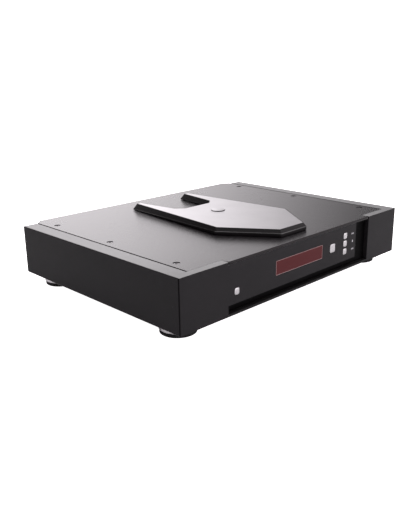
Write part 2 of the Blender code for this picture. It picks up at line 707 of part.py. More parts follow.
def make_sled(finish):
    low, high = CHASSIS_TOP + 0.0005, WELL_FLOOR - 0.0026
    pivot = (0, LENS_Y, RAIL_Z)
    front, rear = LENS_Y - 0.010, LENS_Y + 0.018
    sled = solid("pickup_sled", block(-0.020, 0.020, front, rear, low, high), finish["plastic"], pivot)
    join(sled, rod(0.0052, 0, LENS_Y, "Z", high - 0.001, WELL_FLOOR + 0.0015, steps=16))
    join(sled, block(0.018, SCREW_AXIS_X + 0.004, LENS_Y, LENS_Y + 0.010, low, SCREW_AXIS_Z + 0.0036))
    bores = [rod(0.0019, side * RAIL_X, RAIL_Z, "Y", front - PLATE, rear + PLATE, 12) for side in (-1, 1)]
    nut = rod(0.0020, SCREW_AXIS_X, SCREW_AXIS_Z, "Y", LENS_Y - PLATE, LENS_Y + 0.013, 12)
    lens_seat = rod(0.0034, 0, LENS_Y, "Z", WELL_FLOOR - 0.0020, WELL_FLOOR + 0.004, 16)
    cut(sled, *bores, nut, lens_seat)
    lens = [
        (0, WELL_FLOOR - 0.0008), (0.0029, WELL_FLOOR - 0.0008), (0.0029, WELL_FLOOR + 0.0024),
        (0.0020, WELL_FLOOR + 0.0029), (0, WELL_FLOOR + 0.0032),
    ]
    lens_pivot = (0, LENS_Y, WELL_FLOOR)
    solid("pickup_lens", turned(lens, (0, LENS_Y, 0), steps=16), finish["glass"], lens_pivot, smooth=True)


def make_sled_drive(finish):
    for side, side_name in ((-1, "left"), (1, "right")):
        rail = rod(0.0015, side * RAIL_X, RAIL_Z, "Y", SPINDLE_Y + 0.0108, SPINDLE_Y + 0.0803, 12)
        solid(f"{side_name}_sled_rail", rail, finish["steel"], smooth=True)
    motor_front = SPINDLE_Y + 0.0855
    screw = rod(0.0016, SCREW_AXIS_X, SCREW_AXIS_Z, "Y", SPINDLE_Y + 0.018, motor_front - GAP, 12)
    solid("lead_screw", screw, finish["steel"], (SCREW_AXIS_X, SPINDLE_Y, SCREW_AXIS_Z), smooth=True)
    motor = rod(0.006, SCREW_AXIS_X, SCREW_AXIS_Z, "Y", motor_front, motor_front + 0.016, 20)
    solid("sled_motor", motor, finish["steel"], smooth=True)


# ------------------------------------------------------------------ electronics and sockets

def make_boards(finish):
    for name, (left, right, front, rear) in (("main_board", MAIN_BOARD), ("power_board", POWER_BOARD)):
        solid(name, block(left, right, front, rear, BOARD_Z, BOARD_Z + BOARD), finish["board"])
    can_base = BOARD_Z + BOARD + GAP
    can = [
        (0, can_base), (0.0105, can_base), (0.011, can_base + 0.0005), (0.011, can_base + 0.0345),
        (0.0105, can_base + 0.035), (0, can_base + 0.035),
    ]
    for name, x, y in CAPACITORS:
        solid(name, turned(can, (x, y, 0), steps=20), finish["plastic"], smooth=True)
    low, high = FLOOR_TOP + GAP, FLOOR_TOP + 0.0325
    toroid = [
        (0.012, low + 0.004), (0.015, low), (0.035, low), (0.040, low + 0.006), (0.040, high - 0.006),
        (0.035, high), (0.015, high), (0.012, high - 0.004),
    ]
    solid("transformer", turned(toroid, (*TRANSFORMER, 0), steps=32), finish["winding"], smooth=True)


def make_mains_inlet(finish):
    flange_front = REAR_FACE + GAP
    flange_rear = flange_front + 0.0025
    inlet = solid(
        "mains_inlet",
        prism(rounded(INLET_X, SOCKET_Z, 0.0320, 0.0246, 0.0015), "Y", flange_front, flange_rear),
        finish["plastic"],
    )
    body = rounded(INLET_X, SOCKET_Z, 0.0274, 0.0200, 0.001, 2)
    join(inlet, prism(body, "Y", REAR_FACE - 0.022, flange_rear - 0.001))
    half, low, high, corner = 0.0122, SOCKET_Z - 0.0083, SOCKET_Z + 0.0083, 0.0045
    cavity = [
        (INLET_X - half, low), (INLET_X + half, low), (INLET_X + half, high - corner),
        (INLET_X + half - corner, high), (INLET_X - half + corner, high), (INLET_X - half, high - corner),
    ]
    cut(inlet, prism(cavity, "Y", flange_rear - 0.0165, flange_rear + PLATE))


def make_signal_sockets(finish):
    panel_rear = REAR_FACE - REAR_SHEET - GAP
    flange = REAR_FACE + GAP
    profile = [
        (0, panel_rear - 0.006), (0.0055, panel_rear - 0.006), (0.0055, panel_rear), (0.0037, panel_rear),
        (0.0037, flange), (0.006, flange), (0.006, flange + 0.0013), (0.00415, flange + 0.0013),
        (0.00415, flange + 0.0103), (0.0017, flange + 0.0103), (0.0017, flange + 0.0020),
        (0, flange + 0.0020),
    ]
    for name, x in PHONO_SOCKETS:
        solid(name, turned(profile, (x, 0, SOCKET_Z), "Y", 20), finish["gold"], smooth=True)
    optical = solid(
        "optical_socket",
        prism(rounded(OPTICAL_X, SOCKET_Z, 0.0130, 0.0130, 0.001, 2), "Y", flange, flange + 0.0012),
        finish["plastic"],
    )
    half = 0.0048
    join(optical, block(OPTICAL_X - half, OPTICAL_X + half, REAR_FACE - 0.014, flange + 0.0006,
                        SOCKET_Z - half, SOCKET_Z + half))
    cut(optical, block(OPTICAL_X - 0.003, OPTICAL_X + 0.003, flange + 0.0002, flange + PLATE,
                       SOCKET_Z - 0.003, SOCKET_Z + 0.003))


def main():
    for leftover in list(bpy.data.objects):
        bpy.data.objects.remove(leftover, do_unlink=True)
    finish = finishes()
    make_cheeks(finish)
    make_front_panel(finish)
    make_recess_liner(finish)
    make_top_cover(finish)
    make_cover_screws(finish)
    make_base_plate(finish)
    make_rear_panel(finish)
    make_feet(finish)
    make_display(finish)
    make_buttons(finish)
    make_front_board(finish)
    hinge = (0, HINGE_Y, HINGE_Z)
    make_lid_body(finish, hinge)
    make_lid_plate(finish, hinge)
    make_hinges(finish)
    make_drive_deck(finish)
    make_chassis(finish)
    make_isolation_mounts(finish)
    make_spindle(finish)
    make_sled(finish)
    make_sled_drive(finish)
    make_boards(finish)
    make_mains_inlet(finish)
    make_signal_sockets(finish)


main()
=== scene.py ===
"""Looks of the top-loading disc player: finely meshed shells, finishes, studio and camera.

Metres, +Z up, front towards -Y. A rebuilt piece stands for a CAD node and sits in its place. The
other CAD nodes keep their shape and take a finish, and a few small pieces are only here.
"""

import json
import math

import bmesh
import bpy
from mathutils import Matrix, Vector

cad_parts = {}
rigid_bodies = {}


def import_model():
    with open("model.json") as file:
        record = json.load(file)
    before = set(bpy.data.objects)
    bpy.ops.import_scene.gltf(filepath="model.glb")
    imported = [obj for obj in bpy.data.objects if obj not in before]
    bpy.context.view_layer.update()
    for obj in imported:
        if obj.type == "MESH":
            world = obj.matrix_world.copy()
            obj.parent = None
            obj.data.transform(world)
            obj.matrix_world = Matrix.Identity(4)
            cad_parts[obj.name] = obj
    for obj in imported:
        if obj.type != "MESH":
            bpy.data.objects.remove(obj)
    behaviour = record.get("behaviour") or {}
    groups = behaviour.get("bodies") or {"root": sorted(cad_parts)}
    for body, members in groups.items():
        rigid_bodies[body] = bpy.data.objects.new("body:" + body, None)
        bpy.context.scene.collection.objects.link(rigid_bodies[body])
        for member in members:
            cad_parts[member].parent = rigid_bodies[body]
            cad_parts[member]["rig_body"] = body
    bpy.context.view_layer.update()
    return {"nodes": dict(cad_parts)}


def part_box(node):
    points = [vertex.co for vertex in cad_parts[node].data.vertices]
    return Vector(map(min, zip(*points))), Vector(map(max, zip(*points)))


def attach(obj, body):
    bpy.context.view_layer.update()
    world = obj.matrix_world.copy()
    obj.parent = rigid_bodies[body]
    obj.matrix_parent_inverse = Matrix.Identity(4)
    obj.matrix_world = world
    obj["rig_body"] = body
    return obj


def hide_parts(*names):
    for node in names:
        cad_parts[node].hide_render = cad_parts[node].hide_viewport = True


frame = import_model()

# ---- sizes, most of them from the frame

GAP = 0.0003
SEAM = 0.0001
CORNERS = ("front_left", "front_right", "rear_left", "rear_right")
COVER_LOW, COVER_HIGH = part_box("top_cover")
BASE_LOW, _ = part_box("base_plate")
PANEL_LOW, PANEL_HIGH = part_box("front_panel")
CHEEK_LOW, CHEEK_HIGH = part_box("right_cheek")
LINER_LOW, LINER_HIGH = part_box("recess_liner")
WINDOW_LOW, WINDOW_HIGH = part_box("display_window")
_, LID_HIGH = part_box("lid_body")
REAR_LOW, REAR_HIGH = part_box("rear_panel")
HUB_LOW, HUB_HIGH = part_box("turntable_hub")

TOP = COVER_HIGH.z
COVER_UNDER = COVER_LOW.z
PLATE = TOP - COVER_UNDER
BOTTOM = BASE_LOW.z
FLOOR_TOP = BOTTOM + PLATE
FRONT = PANEL_LOW.y
PANEL_BACK = PANEL_HIGH.y
HALF_WIDTH = PANEL_HIGH.x
CHEEK_REAR = CHEEK_HIGH.y
REAR = COVER_HIGH.y
COVER_HALF = COVER_HIGH.x
TONGUE_LEFT = LINER_LOW.x - GAP
TONGUE_RIGHT = LINER_HIGH.x + GAP

CHEEK_INNER = 0.1956
CHEEK_WALL = 0.004
LEDGE_INNER = CHEEK_LOW.x
CORNER_RADIUS = 0.001
UPRIGHT_RADIUS = 0.002
SLOT_LEFT = 0.112
FASCIA_BOTTOM = BOTTOM + 0.0134
RECESS_DEPTH = 0.0075
COVER_CHAMFER = 0.009
NOSE_CORNER = 0.0045
COVER_NOSE = 0.0016
BUTTON_CORNER = 0.0024
BUTTON_CROWN = 0.00085
BUTTON_NAMES = ("power_button", "play_button", "next_button", "previous_button", "stop_button")
FLANGE_WIDER, FLANGE_TALLER = 0.0024, 0.0020
SIGN_X = 0.1045
SIGN_SIZE = 0.0014
GRAIN_DEPTH = 0.00002

SCREW_X = 0.1823
SCREW_Y = (-0.12075, 0.00125, 0.12075)
SCREW_SHANK = 0.0018
SCREW_DEPTH = 0.0008
SINK_BORE = 0.0023
SINK_RADIUS = 0.0041

LID_TOP = LID_HIGH.z
LID_UNDER = TOP + 0.0005
LID_SKIRT = 0.0045
LID_RIM = 0.0003
LID_PLATE = 0.0012
LID_SEAT_CORNER = 0.0003
LID_HOLLOW_RADIUS = 0.060
LID_HOLLOW = 0.0045
ARM_REACH = 0.00345
ARM_END = 0.11025
BEND_FRONT_Y, BEND_FRONT = -0.1417, 0.0053
BEND_REAR_Y, BEND_REAR = 0.1148, 0.0012
# Half-width of the band along the skirt's bend line that takes the painted highlight.
BEND_HIGHLIGHT_BAND = 0.00028
HINGE_Y = 0.115
HINGE_Z = TOP + 0.0023
HINGE = (0, HINGE_Y, HINGE_Z)
HINGE_X = 0.0476
KNUCKLE_RADIUS = 0.0019
PIN_RADIUS = 0.0009
PIN_HALF = 0.0053
BORE_RADIUS = 0.0011
BORE_HALF = 0.0056
MIDDLE_KNUCKLE = 0.0024
HINGE_SLOT = 0.0017
LEAF_HALF_WIDTH, LEAF_HALF_LENGTH = 0.009, 0.012
BADGE_Y = -0.00675
BADGE_RADIUS = 0.0095
BADGE_RISE = 0.0009
BADGE_ROOT = 0.0005
BADGE_SEAT = 0.0008

SPINDLE_Y = (HUB_LOW.y + HUB_HIGH.y) / 2
WELL_RADIUS = 0.063
WELL_BORE = 0.017
WELL_FLOOR = TOP - 0.0135
DISC_SEAT = WELL_FLOOR + 0.0054
HUB_RADIUS = 0.0145
NOSE_RADIUS = 0.0073
BALL_RADIUS = 0.0009
CHASSIS_TOP = WELL_FLOOR - 0.0115
RAIL_X = 0.016
RAIL_Z = CHASSIS_TOP + 0.004
RAIL_BORE = 0.0019
LEAD_SCREW_X = 0.026
LEAD_SCREW_Z = CHASSIS_TOP + 0.0036
LEAD_SCREW_BORE = 0.0020
LENS_Y = SPINDLE_Y + 0.024
LENS_RADIUS = 0.0029
LENS_BORE = 0.0034

FOOT_RADIUS = 0.0225
FOOT_BORE = 0.012
PAD_RADIUS = 0.0217
PAD_HEIGHT = 0.0049
PAD_STEM = 0.0117

REAR_FACE = REAR_HIGH.y
SOCKET_Z = BOTTOM + 0.033
INLET_X = -0.150
OPTICAL_X = 0.040
ROUND_SOCKETS = (
    ("left_phono_socket", 0.118, "white"),
    ("right_phono_socket", 0.138, "red"),
    ("coaxial_socket", 0.070, "orange"),
)


# ---- outlines

def arc(centre_u, centre_v, radius, start, end, steps):
    """Points from start to end degrees about a centre."""
    angles = [math.radians(start + (end - start) * step / steps) for step in range(steps + 1)]
    return [(centre_u + radius * math.cos(a), centre_v + radius * math.sin(a)) for a in angles]


def circle(centre_u, centre_v, radius, steps=64):
    return arc(centre_u, centre_v, radius, 0, 360, steps)[:-1]


def rectangle(u_low, u_high, v_low, v_high):
    return [(u_low, v_low), (u_high, v_low), (u_high, v_high), (u_low, v_high)]


def rounded(centre_u, centre_v, width, height, radius, steps=8):
    """A rectangle with round corners, about its centre."""
    points = []
    for sign_u, sign_v, start in ((1, 1, 0), (-1, 1, 90), (-1, -1, 180), (1, -1, 270)):
        corner_u = centre_u + sign_u * (width / 2 - radius)
        corner_v = centre_v + sign_v * (height / 2 - radius)
        points += arc(corner_u, corner_v, radius, start, start + 90, steps)
    return points


def mirrored(outline):
    """The same outline on the other side of X = 0."""
    return [(-u, v) for u, v in reversed(outline)]


def offset(outline, distance):
    """A counter-clockwise outline, grown outwards with mitred corners."""
    grown = []
    count = len(outline)
    for index in range(count):
        before = Vector(outline[index]) - Vector(outline[index - 1])
        after = Vector(outline[(index + 1) % count]) - Vector(outline[index])
        normal_before = Vector((before.y, -before.x)).normalized()
        normal_after = Vector((after.y, -after.x)).normalized()
        mitre = (normal_before + normal_after) / (1 + normal_before.dot(normal_after))
        u, v = outline[index]
        grown.append((u + mitre.x * distance, v + mitre.y * distance))
    return grown


def filleted(outline, radius, steps=6):
    """The outline with each corner rounded, the same number of points whatever the radius."""
    points = []
    count = len(outline)
    for index in range(count):
        corner = Vector(outline[index])
        towards = (Vector(outline[index - 1]) - corner).normalized()
        away = (Vector(outline[(index + 1) % count]) - corner).normalized()
        half = math.acos(max(-1.0, min(1.0, towards.dot(away)))) / 2
        reach = radius / math.tan(half)
        middle = corner + (towards + away).normalized() * (radius / math.sin(half))
        spoke = corner + towards * reach - middle
        sweep = math.copysign(math.pi - 2 * half, away.cross(towards))
        for step in range(steps + 1):
            points.append(tuple(middle + Matrix.Rotation(sweep * step / steps, 2) @ spoke))
    return points


def lid_outline(reach=0.0):
    """The silver top of the lid: a shield with a notch between two arms, longer by reach."""
    right = [
        (0.0232, -0.13715),
        (0.0686, -0.07135),
        (0.0506 - 0.099 * reach, ARM_END + reach),
        (0.0446 + 0.132 * reach, ARM_END + reach),
        (0.0360, 0.04525),
        (0.0240, 0.03475),
    ]
    return right + mirrored(right)


# ---- shapes

def along(axis, u, v, w):
    """The point with section coordinates u, v at the distance w along an axis."""
    return {"X": (w, u, v), "Y": (u, w, v), "Z": (u, v, w)}[axis]


def prism(outline, axis, low, high):
    """An outline extruded along an axis. Its points are in the other two axes, in X, Y, Z order."""
    shape = bmesh.new()
    face = shape.faces.new([shape.verts.new(along(axis, u, v, low)) for u, v in outline])
    grown = bmesh.ops.extrude_face_region(shape, geom=[face])["geom"]
    moved = [item for item in grown if isinstance(item, bmesh.types.BMVert)]
    bmesh.ops.translate(shape, verts=moved, vec=along(axis, 0, 0, high - low))
    bmesh.ops.recalc_face_normals(shape, faces=shape.faces)
    return shape


def block(x_low, x_high, y_low, y_high, z_low, z_high):
    return prism(rectangle(x_low, x_high, y_low, y_high), "Z", z_low, z_high)


def turned(profile, centre, axis="Z", steps=96):
    """A (radius, height) profile spun about an axis through the centre, a ring if off the axis."""
    shape = bmesh.new()
    points = [shape.verts.new((radius, 0, height)) for radius, height in profile]
    edges = [shape.edges.new(pair) for pair in zip(points, points[1:])]
    if profile[0][0] > 0:
        edges.append(shape.edges.new((points[-1], points[0])))
    bmesh.ops.spin(shape, geom=points + edges, cent=(0, 0, 0), axis=(0, 0, 1), angle=math.tau,
                   steps=steps)
    bmesh.ops.remove_doubles(shape, verts=shape.verts, dist=1e-6)
    turn = {"Y": Matrix.Rotation(-math.pi / 2, 4, "X"), "Z": Matrix.Identity(4)}[axis]
    bmesh.ops.transform(shape, matrix=Matrix.Translation(centre) @ turn, verts=shape.verts)
    bmesh.ops.recalc_face_normals(shape, faces=shape.faces)
    return shape


def rod(radius, centre_u, centre_v, axis, low, high, steps=48):
    return prism(circle(centre_u, centre_v, radius, steps), axis, low, high)


def loft(rings):
    """A closed body through rings of equal length, each a list of (x, y, z), from bottom to top."""
    shape = bmesh.new()
    loops = [[shape.verts.new(point) for point in ring] for ring in rings]
    shape.faces.new(loops[0])
    shape.faces.new(loops[-1])
    for lower, upper in zip(loops, loops[1:]):
        for index in range(len(lower)):
            shape.faces.new((lower[index - 1], lower[index], upper[index], upper[index - 1]))
    bmesh.ops.recalc_face_normals(shape, faces=shape.faces)
    return shape


# ---- finishes

def add_node(tree, kind, **values):
    """A shader node with values for its inputs, whose names are written with _ for a space."""
    node = tree.nodes.new("ShaderNode" + kind)
    for name, value in values.items():
        node.inputs[name.replace("_", " ")].default_value = value
    return node


def link(tree, source, output, target, socket):
    tree.links.new(source.outputs[output], target.inputs[socket])


def ramp(tree, low, high):
    """A node that maps a texture's 0.3 to 0.7 onto low to high."""
    return add_node(tree, "MapRange", From_Min=0.3, From_Max=0.7, To_Min=low, To_Max=high)


def finish(name, colour, roughness, metallic=0.0, specular=0.5, vary=0.08, scale=900.0,
           stretch=(1, 1, 1), bump=0.04, coat=0.0, patch=30.0, grazing=None):
    """A procedural finish: fine grain in the bump and roughness, broad patches in the colour.

    vary is the share by which colour and roughness wander, scale the grain's frequency per metre,
    patch that of the patches, and stretch makes the grain directional, as brushing does. grazing is
    the specular level seen edge-on, where it differs from the level seen face-on.
    """
    made = bpy.data.materials.new(name)
    made.use_nodes = True
    tree = made.node_tree
    shader = tree.nodes["Principled BSDF"]
    shader.inputs["Metallic"].default_value = metallic
    shader.inputs["Specular IOR Level"].default_value = specular
    shader.inputs["Coat Weight"].default_value = coat
    shader.inputs["Coat Roughness"].default_value = 0.08
    if grazing is not None:
        facing = add_node(tree, "LayerWeight", Blend=0.5)
        rise = add_node(tree, "MapRange", From_Min=0.58, From_Max=0.72, To_Min=specular,
                        To_Max=grazing)
        rise.interpolation_type = "SMOOTHSTEP"
        link(tree, facing, "Facing", rise, "Value")
        link(tree, rise, "Result", shader, "Specular IOR Level")
    place = add_node(tree, "TexCoord")
    mapping = add_node(tree, "Mapping", Scale=stretch)
    link(tree, place, "Object", mapping, "Vector")
    grain = add_node(tree, "TexNoise", Scale=scale, Detail=3)
    link(tree, mapping, "Vector", grain, "Vector")
    patches = add_node(tree, "TexNoise", Scale=patch, Detail=4)
    link(tree, place, "Object", patches, "Vector")
    shade = ramp(tree, 1 - vary, 1 + vary)
    link(tree, patches, "Fac", shade, "Value")
    tint = add_node(tree, "Mix")
    tint.data_type = "RGBA"
    tint.blend_type = "MULTIPLY"
    tint.inputs["Factor"].default_value = 1
    tint.inputs["A"].default_value = (*colour, 1)
    link(tree, shade, "Result", tint, "B")
    link(tree, tint, "Result", shader, "Base Color")
    gloss = ramp(tree, roughness * (1 - vary), roughness * (1 + vary))
    link(tree, grain, "Fac", gloss, "Value")
    link(tree, gloss, "Result", shader, "Roughness")
    relief = add_node(tree, "Bump", Strength=bump, Distance=GRAIN_DEPTH)
    link(tree, grain, "Fac", relief, "Height")
    link(tree, relief, "Normal", shader, "Normal")
    return made


def ringed(name, colour, roughness, pitch):
    """Lathe-turned metal: fine rings about the object's own Z axis."""
    made = finish(name, colour, roughness, metallic=1.0, bump=0.02)
    tree = made.node_tree
    place = next(node for node in tree.nodes if node.type == "TEX_COORD")
    rings = add_node(tree, "TexWave", Scale=1 / pitch / 20, Distortion=0.4)
    rings.wave_type = "RINGS"
    rings.rings_direction = "Z"
    link(tree, place, "Object", rings, "Vector")
    relief = add_node(tree, "Bump", Strength=0.12, Distance=GRAIN_DEPTH)
    link(tree, rings, "Fac", relief, "Height")
    grain = next(node for node in tree.nodes if node.type == "BUMP" and node != relief)
    link(tree, grain, "Normal", relief, "Normal")
    link(tree, relief, "Normal", tree.nodes["Principled BSDF"], "Normal")
    return made


METAL = {"metallic": 1.0}
FINISH = {
    "case": finish("case_anodised", (0.0084, 0.0075, 0.0086), 0.56, specular=0.12, grazing=3.8,
                   scale=2600, bump=0.2),
    "cover": finish("cover_anodised", (0.0088, 0.0073, 0.0082), 0.27, specular=0.12, grazing=1.15,
                    scale=2600, bump=0.2),
    # Painted shade: a near-black material put on groove walls, countersinks and the turns of the
    # uprights, where shade and dark reflections fall.
    "edge": finish("case_painted_shade", (0.0022, 0.002, 0.0022), 0.6, specular=0.02, scale=2600,
                   bump=0.1),
    "base": finish("base_paint", (0.006, 0.0055, 0.006), 0.5, specular=0.1, scale=1400, bump=0.3),
    "liner": finish("liner_black", (0.0012, 0.001, 0.0012), 0.5, specular=0.02, scale=800,
                    bump=0.05),
    "display": finish("display_filter", (0.060, 0.0138, 0.0148), 0.3, specular=0.04, vary=0.03,
                      bump=0.01),
    # Painted highlight: a light line just inside the display window's edge, standing for the
    # highlight on that edge.
    "painted_rim_highlight": finish("display_rim_highlight_paint", (0.24, 0.15, 0.15), 0.4, specular=0.2, vary=0.05),
    "lid_black": finish("lid_moulding", (0.006, 0.005, 0.0055), 0.30, specular=0.12, scale=1800,
                        bump=0.2),
    # Painted highlight: a strongly reflective material for a thin band on the lid skirt's bend
    # line, standing for the highlight there.
    "lid_bend_painted_highlight": finish("lid_moulding_painted_highlight", (0.008, 0.007, 0.0075), 0.25, specular=1.6, scale=1800,
                       bump=0.1),
    "silver": finish("silver_brushed", (0.45, 0.442, 0.452), 0.3, **METAL, vary=0.05, scale=500,
                     stretch=(0.06, 12, 6), bump=0.05),
    "key": finish("key_silver", (0.46, 0.448, 0.458), 0.22, **METAL, vary=0.05, scale=1500,
                  bump=0.06),
    # Painted shade: a near-black material for the badge's side, standing for the shade in the gap
    # round it.
    "ring": finish("badge_gap_painted_shade", (0.012, 0.011, 0.012), 0.4, specular=0.1, vary=0.05),
    "foot": ringed("foot_silver_turned", (0.74, 0.72, 0.74), 0.24, 0.0004),
    "steel": finish("bright_steel", (0.56, 0.55, 0.57), 0.28, **METAL, vary=0.06, scale=1200),
    "screw": finish("screw_dark_steel", (0.30, 0.29, 0.30), 0.35, **METAL, vary=0.1, scale=1600),
    "rubber": finish("black_rubber", (0.008, 0.008, 0.008), 0.75, specular=0.25, scale=1200,
                     bump=0.3),
    "plastic": finish("deck_plastic", (0.011, 0.011, 0.0115), 0.5, specular=0.35, scale=1500,
                      bump=0.35),
    "board": finish("green_board", (0.008, 0.085, 0.03), 0.4, vary=0.35, scale=260, patch=220),
    "gold": finish("gold_plate", (0.88, 0.6, 0.24), 0.22, **METAL, vary=0.05),
    "winding": finish("winding_tape", (0.42, 0.29, 0.035), 0.35, vary=0.2, scale=140,
                      stretch=(1, 1, 8), bump=0.3),
    "sleeve": finish("capacitor_sleeve", (0.010, 0.014, 0.03), 0.3, vary=0.1, scale=700),
    "glass": finish("lens_glass", (0.06, 0.09, 0.16), 0.05, specular=0.8, vary=0.04, coat=1.0,
                    bump=0.0),
    "module": finish("display_module_glass", (0.03, 0.035, 0.035), 0.12, vary=0.1),
    "red": finish("insert_red", (0.45, 0.015, 0.012), 0.4, vary=0.05),
    "white": finish("insert_white", (0.72, 0.70, 0.66), 0.4, vary=0.04),
    "orange": finish("insert_orange", (0.62, 0.19, 0.02), 0.4, vary=0.05),
    "ink": finish("sign_ink", (0.32, 0.31, 0.33), 0.5, vary=0.05),
}


# ---- pieces

def mesh_object(name, shape, pivot=(0, 0, 0)):
    mesh = bpy.data.meshes.new(name)
    shape.to_mesh(mesh)
    shape.free()
    mesh.transform(Matrix.Translation(-Vector(pivot)))
    made = bpy.data.objects.new(name, mesh)
    made.location = pivot
    bpy.context.scene.collection.objects.link(made)
    return made


def carve(target, operation, shape):
    """Cuts the shape from the target, or joins it, and keeps only the result."""
    helper = mesh_object(target.name + "_helper", shape)
    change = target.modifiers.new("Carve", "BOOLEAN")
    change.operation = operation
    change.solver = "EXACT"
    change.object = helper
    bpy.context.view_layer.update()
    result = target.evaluated_get(bpy.context.evaluated_depsgraph_get())
    old = target.data
    target.data = bpy.data.meshes.new_from_object(result)
    target.modifiers.clear()
    bpy.data.meshes.remove(old)
    bpy.data.objects.remove(helper)


def cut(target, shape):
    carve(target, "DIFFERENCE", shape)


def join(target, shape):
    carve(target, "UNION", shape)


def dress(made, material, body, nodes=(), soft=0.0003, segments=3, smooth=35):
    """Gives a piece its edges, shading and finish, attaches it to the body it rides on, and hides
    the CAD nodes it stands for.
    """
    made.data.materials.clear()
    made.data.materials.append(FINISH[material])
    made.data.shade_smooth()
    made.data.set_sharp_from_angle(angle=math.radians(smooth))
    if soft:
        edge = made.modifiers.new("Soft edges", "BEVEL")
        edge.width = soft
        edge.segments = segments
        edge.limit_method = "ANGLE"
        edge.angle_limit = math.radians(smooth)
        edge.miter_outer = "MITER_ARC"
        edge.harden_normals = False
        weighted = made.modifiers.new("Flat faces", "WEIGHTED_NORMAL")
        weighted.keep_sharp = False
        weighted.weight = 90
    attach(made, body)
    if nodes:
        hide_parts(*nodes)
    return made


def paint_shade_or_highlight(made, material, chosen):
    """Gives the faces for which chosen(face) is true the piece's second material, with which
    painted shade or a painted highlight is laid on them.
    """
    if len(made.data.materials) == 1:
        made.data.materials.append(FINISH[material])
    for face in made.data.polygons:
        if chosen(face):
            face.material_index = 1


# ---- case

def cheek_section():
    """Section of the right cheek, as (x, z)."""
    corner = HALF_WIDTH - CORNER_RADIUS
    return [
        (CHEEK_INNER, TOP),
        (CHEEK_INNER, COVER_UNDER - GAP),
        (LEDGE_INNER, COVER_UNDER - GAP),
        (LEDGE_INNER, COVER_UNDER - GAP - PLATE),
        (HALF_WIDTH - CHEEK_WALL, COVER_UNDER - GAP - PLATE),
        (HALF_WIDTH - CHEEK_WALL, FLOOR_TOP + GAP + PLATE),
        (LEDGE_INNER, FLOOR_TOP + GAP + PLATE),
        (LEDGE_INNER, FLOOR_TOP + GAP),
        (CHEEK_INNER, FLOOR_TOP + GAP),
        (CHEEK_INNER, BOTTOM),
        *arc(corner, BOTTOM + CORNER_RADIUS, CORNER_RADIUS, -90, 0, 10),
        *arc(corner, TOP - CORNER_RADIUS, CORNER_RADIUS, 0, 90, 10),
    ]


def make_cheeks():
    for name, section, side in (
        ("left_cheek", mirrored(cheek_section()), -1),
        ("right_cheek", cheek_section(), 1),
    ):
        cheek = mesh_object(name + "_shell", prism(section, "Y", PANEL_BACK, CHEEK_REAR))
        for y in SCREW_Y:
            cut(cheek, rod(SCREW_SHANK, side * SCREW_X, y, "Z", COVER_UNDER - 2 * PLATE, TOP, 32))
        dress(cheek, "case", "case", [name], 0.0001, 2)
        # Painted shade: the cheek's inner faces, the walls of the groove along the cover, take the
        # near-black material.
        paint_shade_or_highlight(cheek, "edge", lambda face: abs(face.center.x) < CHEEK_INNER + SEAM
                      and abs(face.normal.x) > 0.7)


def make_front_panel():
    corner = HALF_WIDTH - CORNER_RADIUS
    outline = [
        (TONGUE_LEFT, BOTTOM),
        (TONGUE_LEFT, FLOOR_TOP + GAP),
        (TONGUE_RIGHT, FLOOR_TOP + GAP),
        (TONGUE_RIGHT, BOTTOM),
        *arc(corner, BOTTOM + CORNER_RADIUS, CORNER_RADIUS, -90, 0, 10),
        *arc(corner, TOP - CORNER_RADIUS, CORNER_RADIUS, 0, 90, 10),
        (TONGUE_RIGHT, TOP),
        (TONGUE_RIGHT, COVER_UNDER - GAP),
        (TONGUE_LEFT, COVER_UNDER - GAP),
        (TONGUE_LEFT, TOP),
        *arc(-corner, TOP - CORNER_RADIUS, CORNER_RADIUS, 90, 180, 10),
        *arc(-corner, BOTTOM + CORNER_RADIUS, CORNER_RADIUS, 180, 270, 10),
    ]
    panel = mesh_object("front_panel_shell", prism(outline, "Y", FRONT, PANEL_BACK))
    waste = [
        *arc(HALF_WIDTH - UPRIGHT_RADIUS, FRONT + UPRIGHT_RADIUS, UPRIGHT_RADIUS, 0, -90, 18),
        (HALF_WIDTH - UPRIGHT_RADIUS, FRONT - PLATE),
        (HALF_WIDTH + PLATE, FRONT - PLATE),
        (HALF_WIDTH + PLATE, FRONT + UPRIGHT_RADIUS),
    ]
    cut(panel, prism(waste, "Z", BOTTOM - PLATE, TOP + PLATE))
    cut(panel, prism(mirrored(waste), "Z", BOTTOM - PLATE, TOP + PLATE))
    recess = [
        (TONGUE_LEFT, BOTTOM - PLATE),
        (TONGUE_RIGHT, BOTTOM - PLATE),
        (TONGUE_RIGHT, TOP + PLATE),
        (SLOT_LEFT, TOP + PLATE),
        (SLOT_LEFT, FASCIA_BOTTOM),
        (TONGUE_LEFT, FASCIA_BOTTOM),
    ]
    cut(panel, prism(recess, "Y", FRONT - PLATE, FRONT + RECESS_DEPTH))
    middle = (WINDOW_LOW + WINDOW_HIGH) / 2
    size = WINDOW_HIGH - WINDOW_LOW
    holes = [rounded(middle.x, middle.z, size.x + 2 * GAP, size.z + 2 * GAP, 0.0008)]
    for name in BUTTON_NAMES:
        x, z, width, height = button_face(name)
        holes.append(rounded(x, z, width + 2 * GAP, height + 2 * GAP, BUTTON_CORNER))
    for hole in holes:
        cut(panel, prism(hole, "Y", FRONT - PLATE, PANEL_BACK + PLATE))
    dress(panel, "case", "case", ["front_panel"], 0.0001, 2)
    # Painted shade: the round uprights are darkened where they turn from the front to the side,
    # standing for the dark reflection there.
    paint_shade_or_highlight(panel, "edge", lambda face: abs(face.center.x) > COVER_HALF
                  and -0.88 < face.normal.y < -0.42)


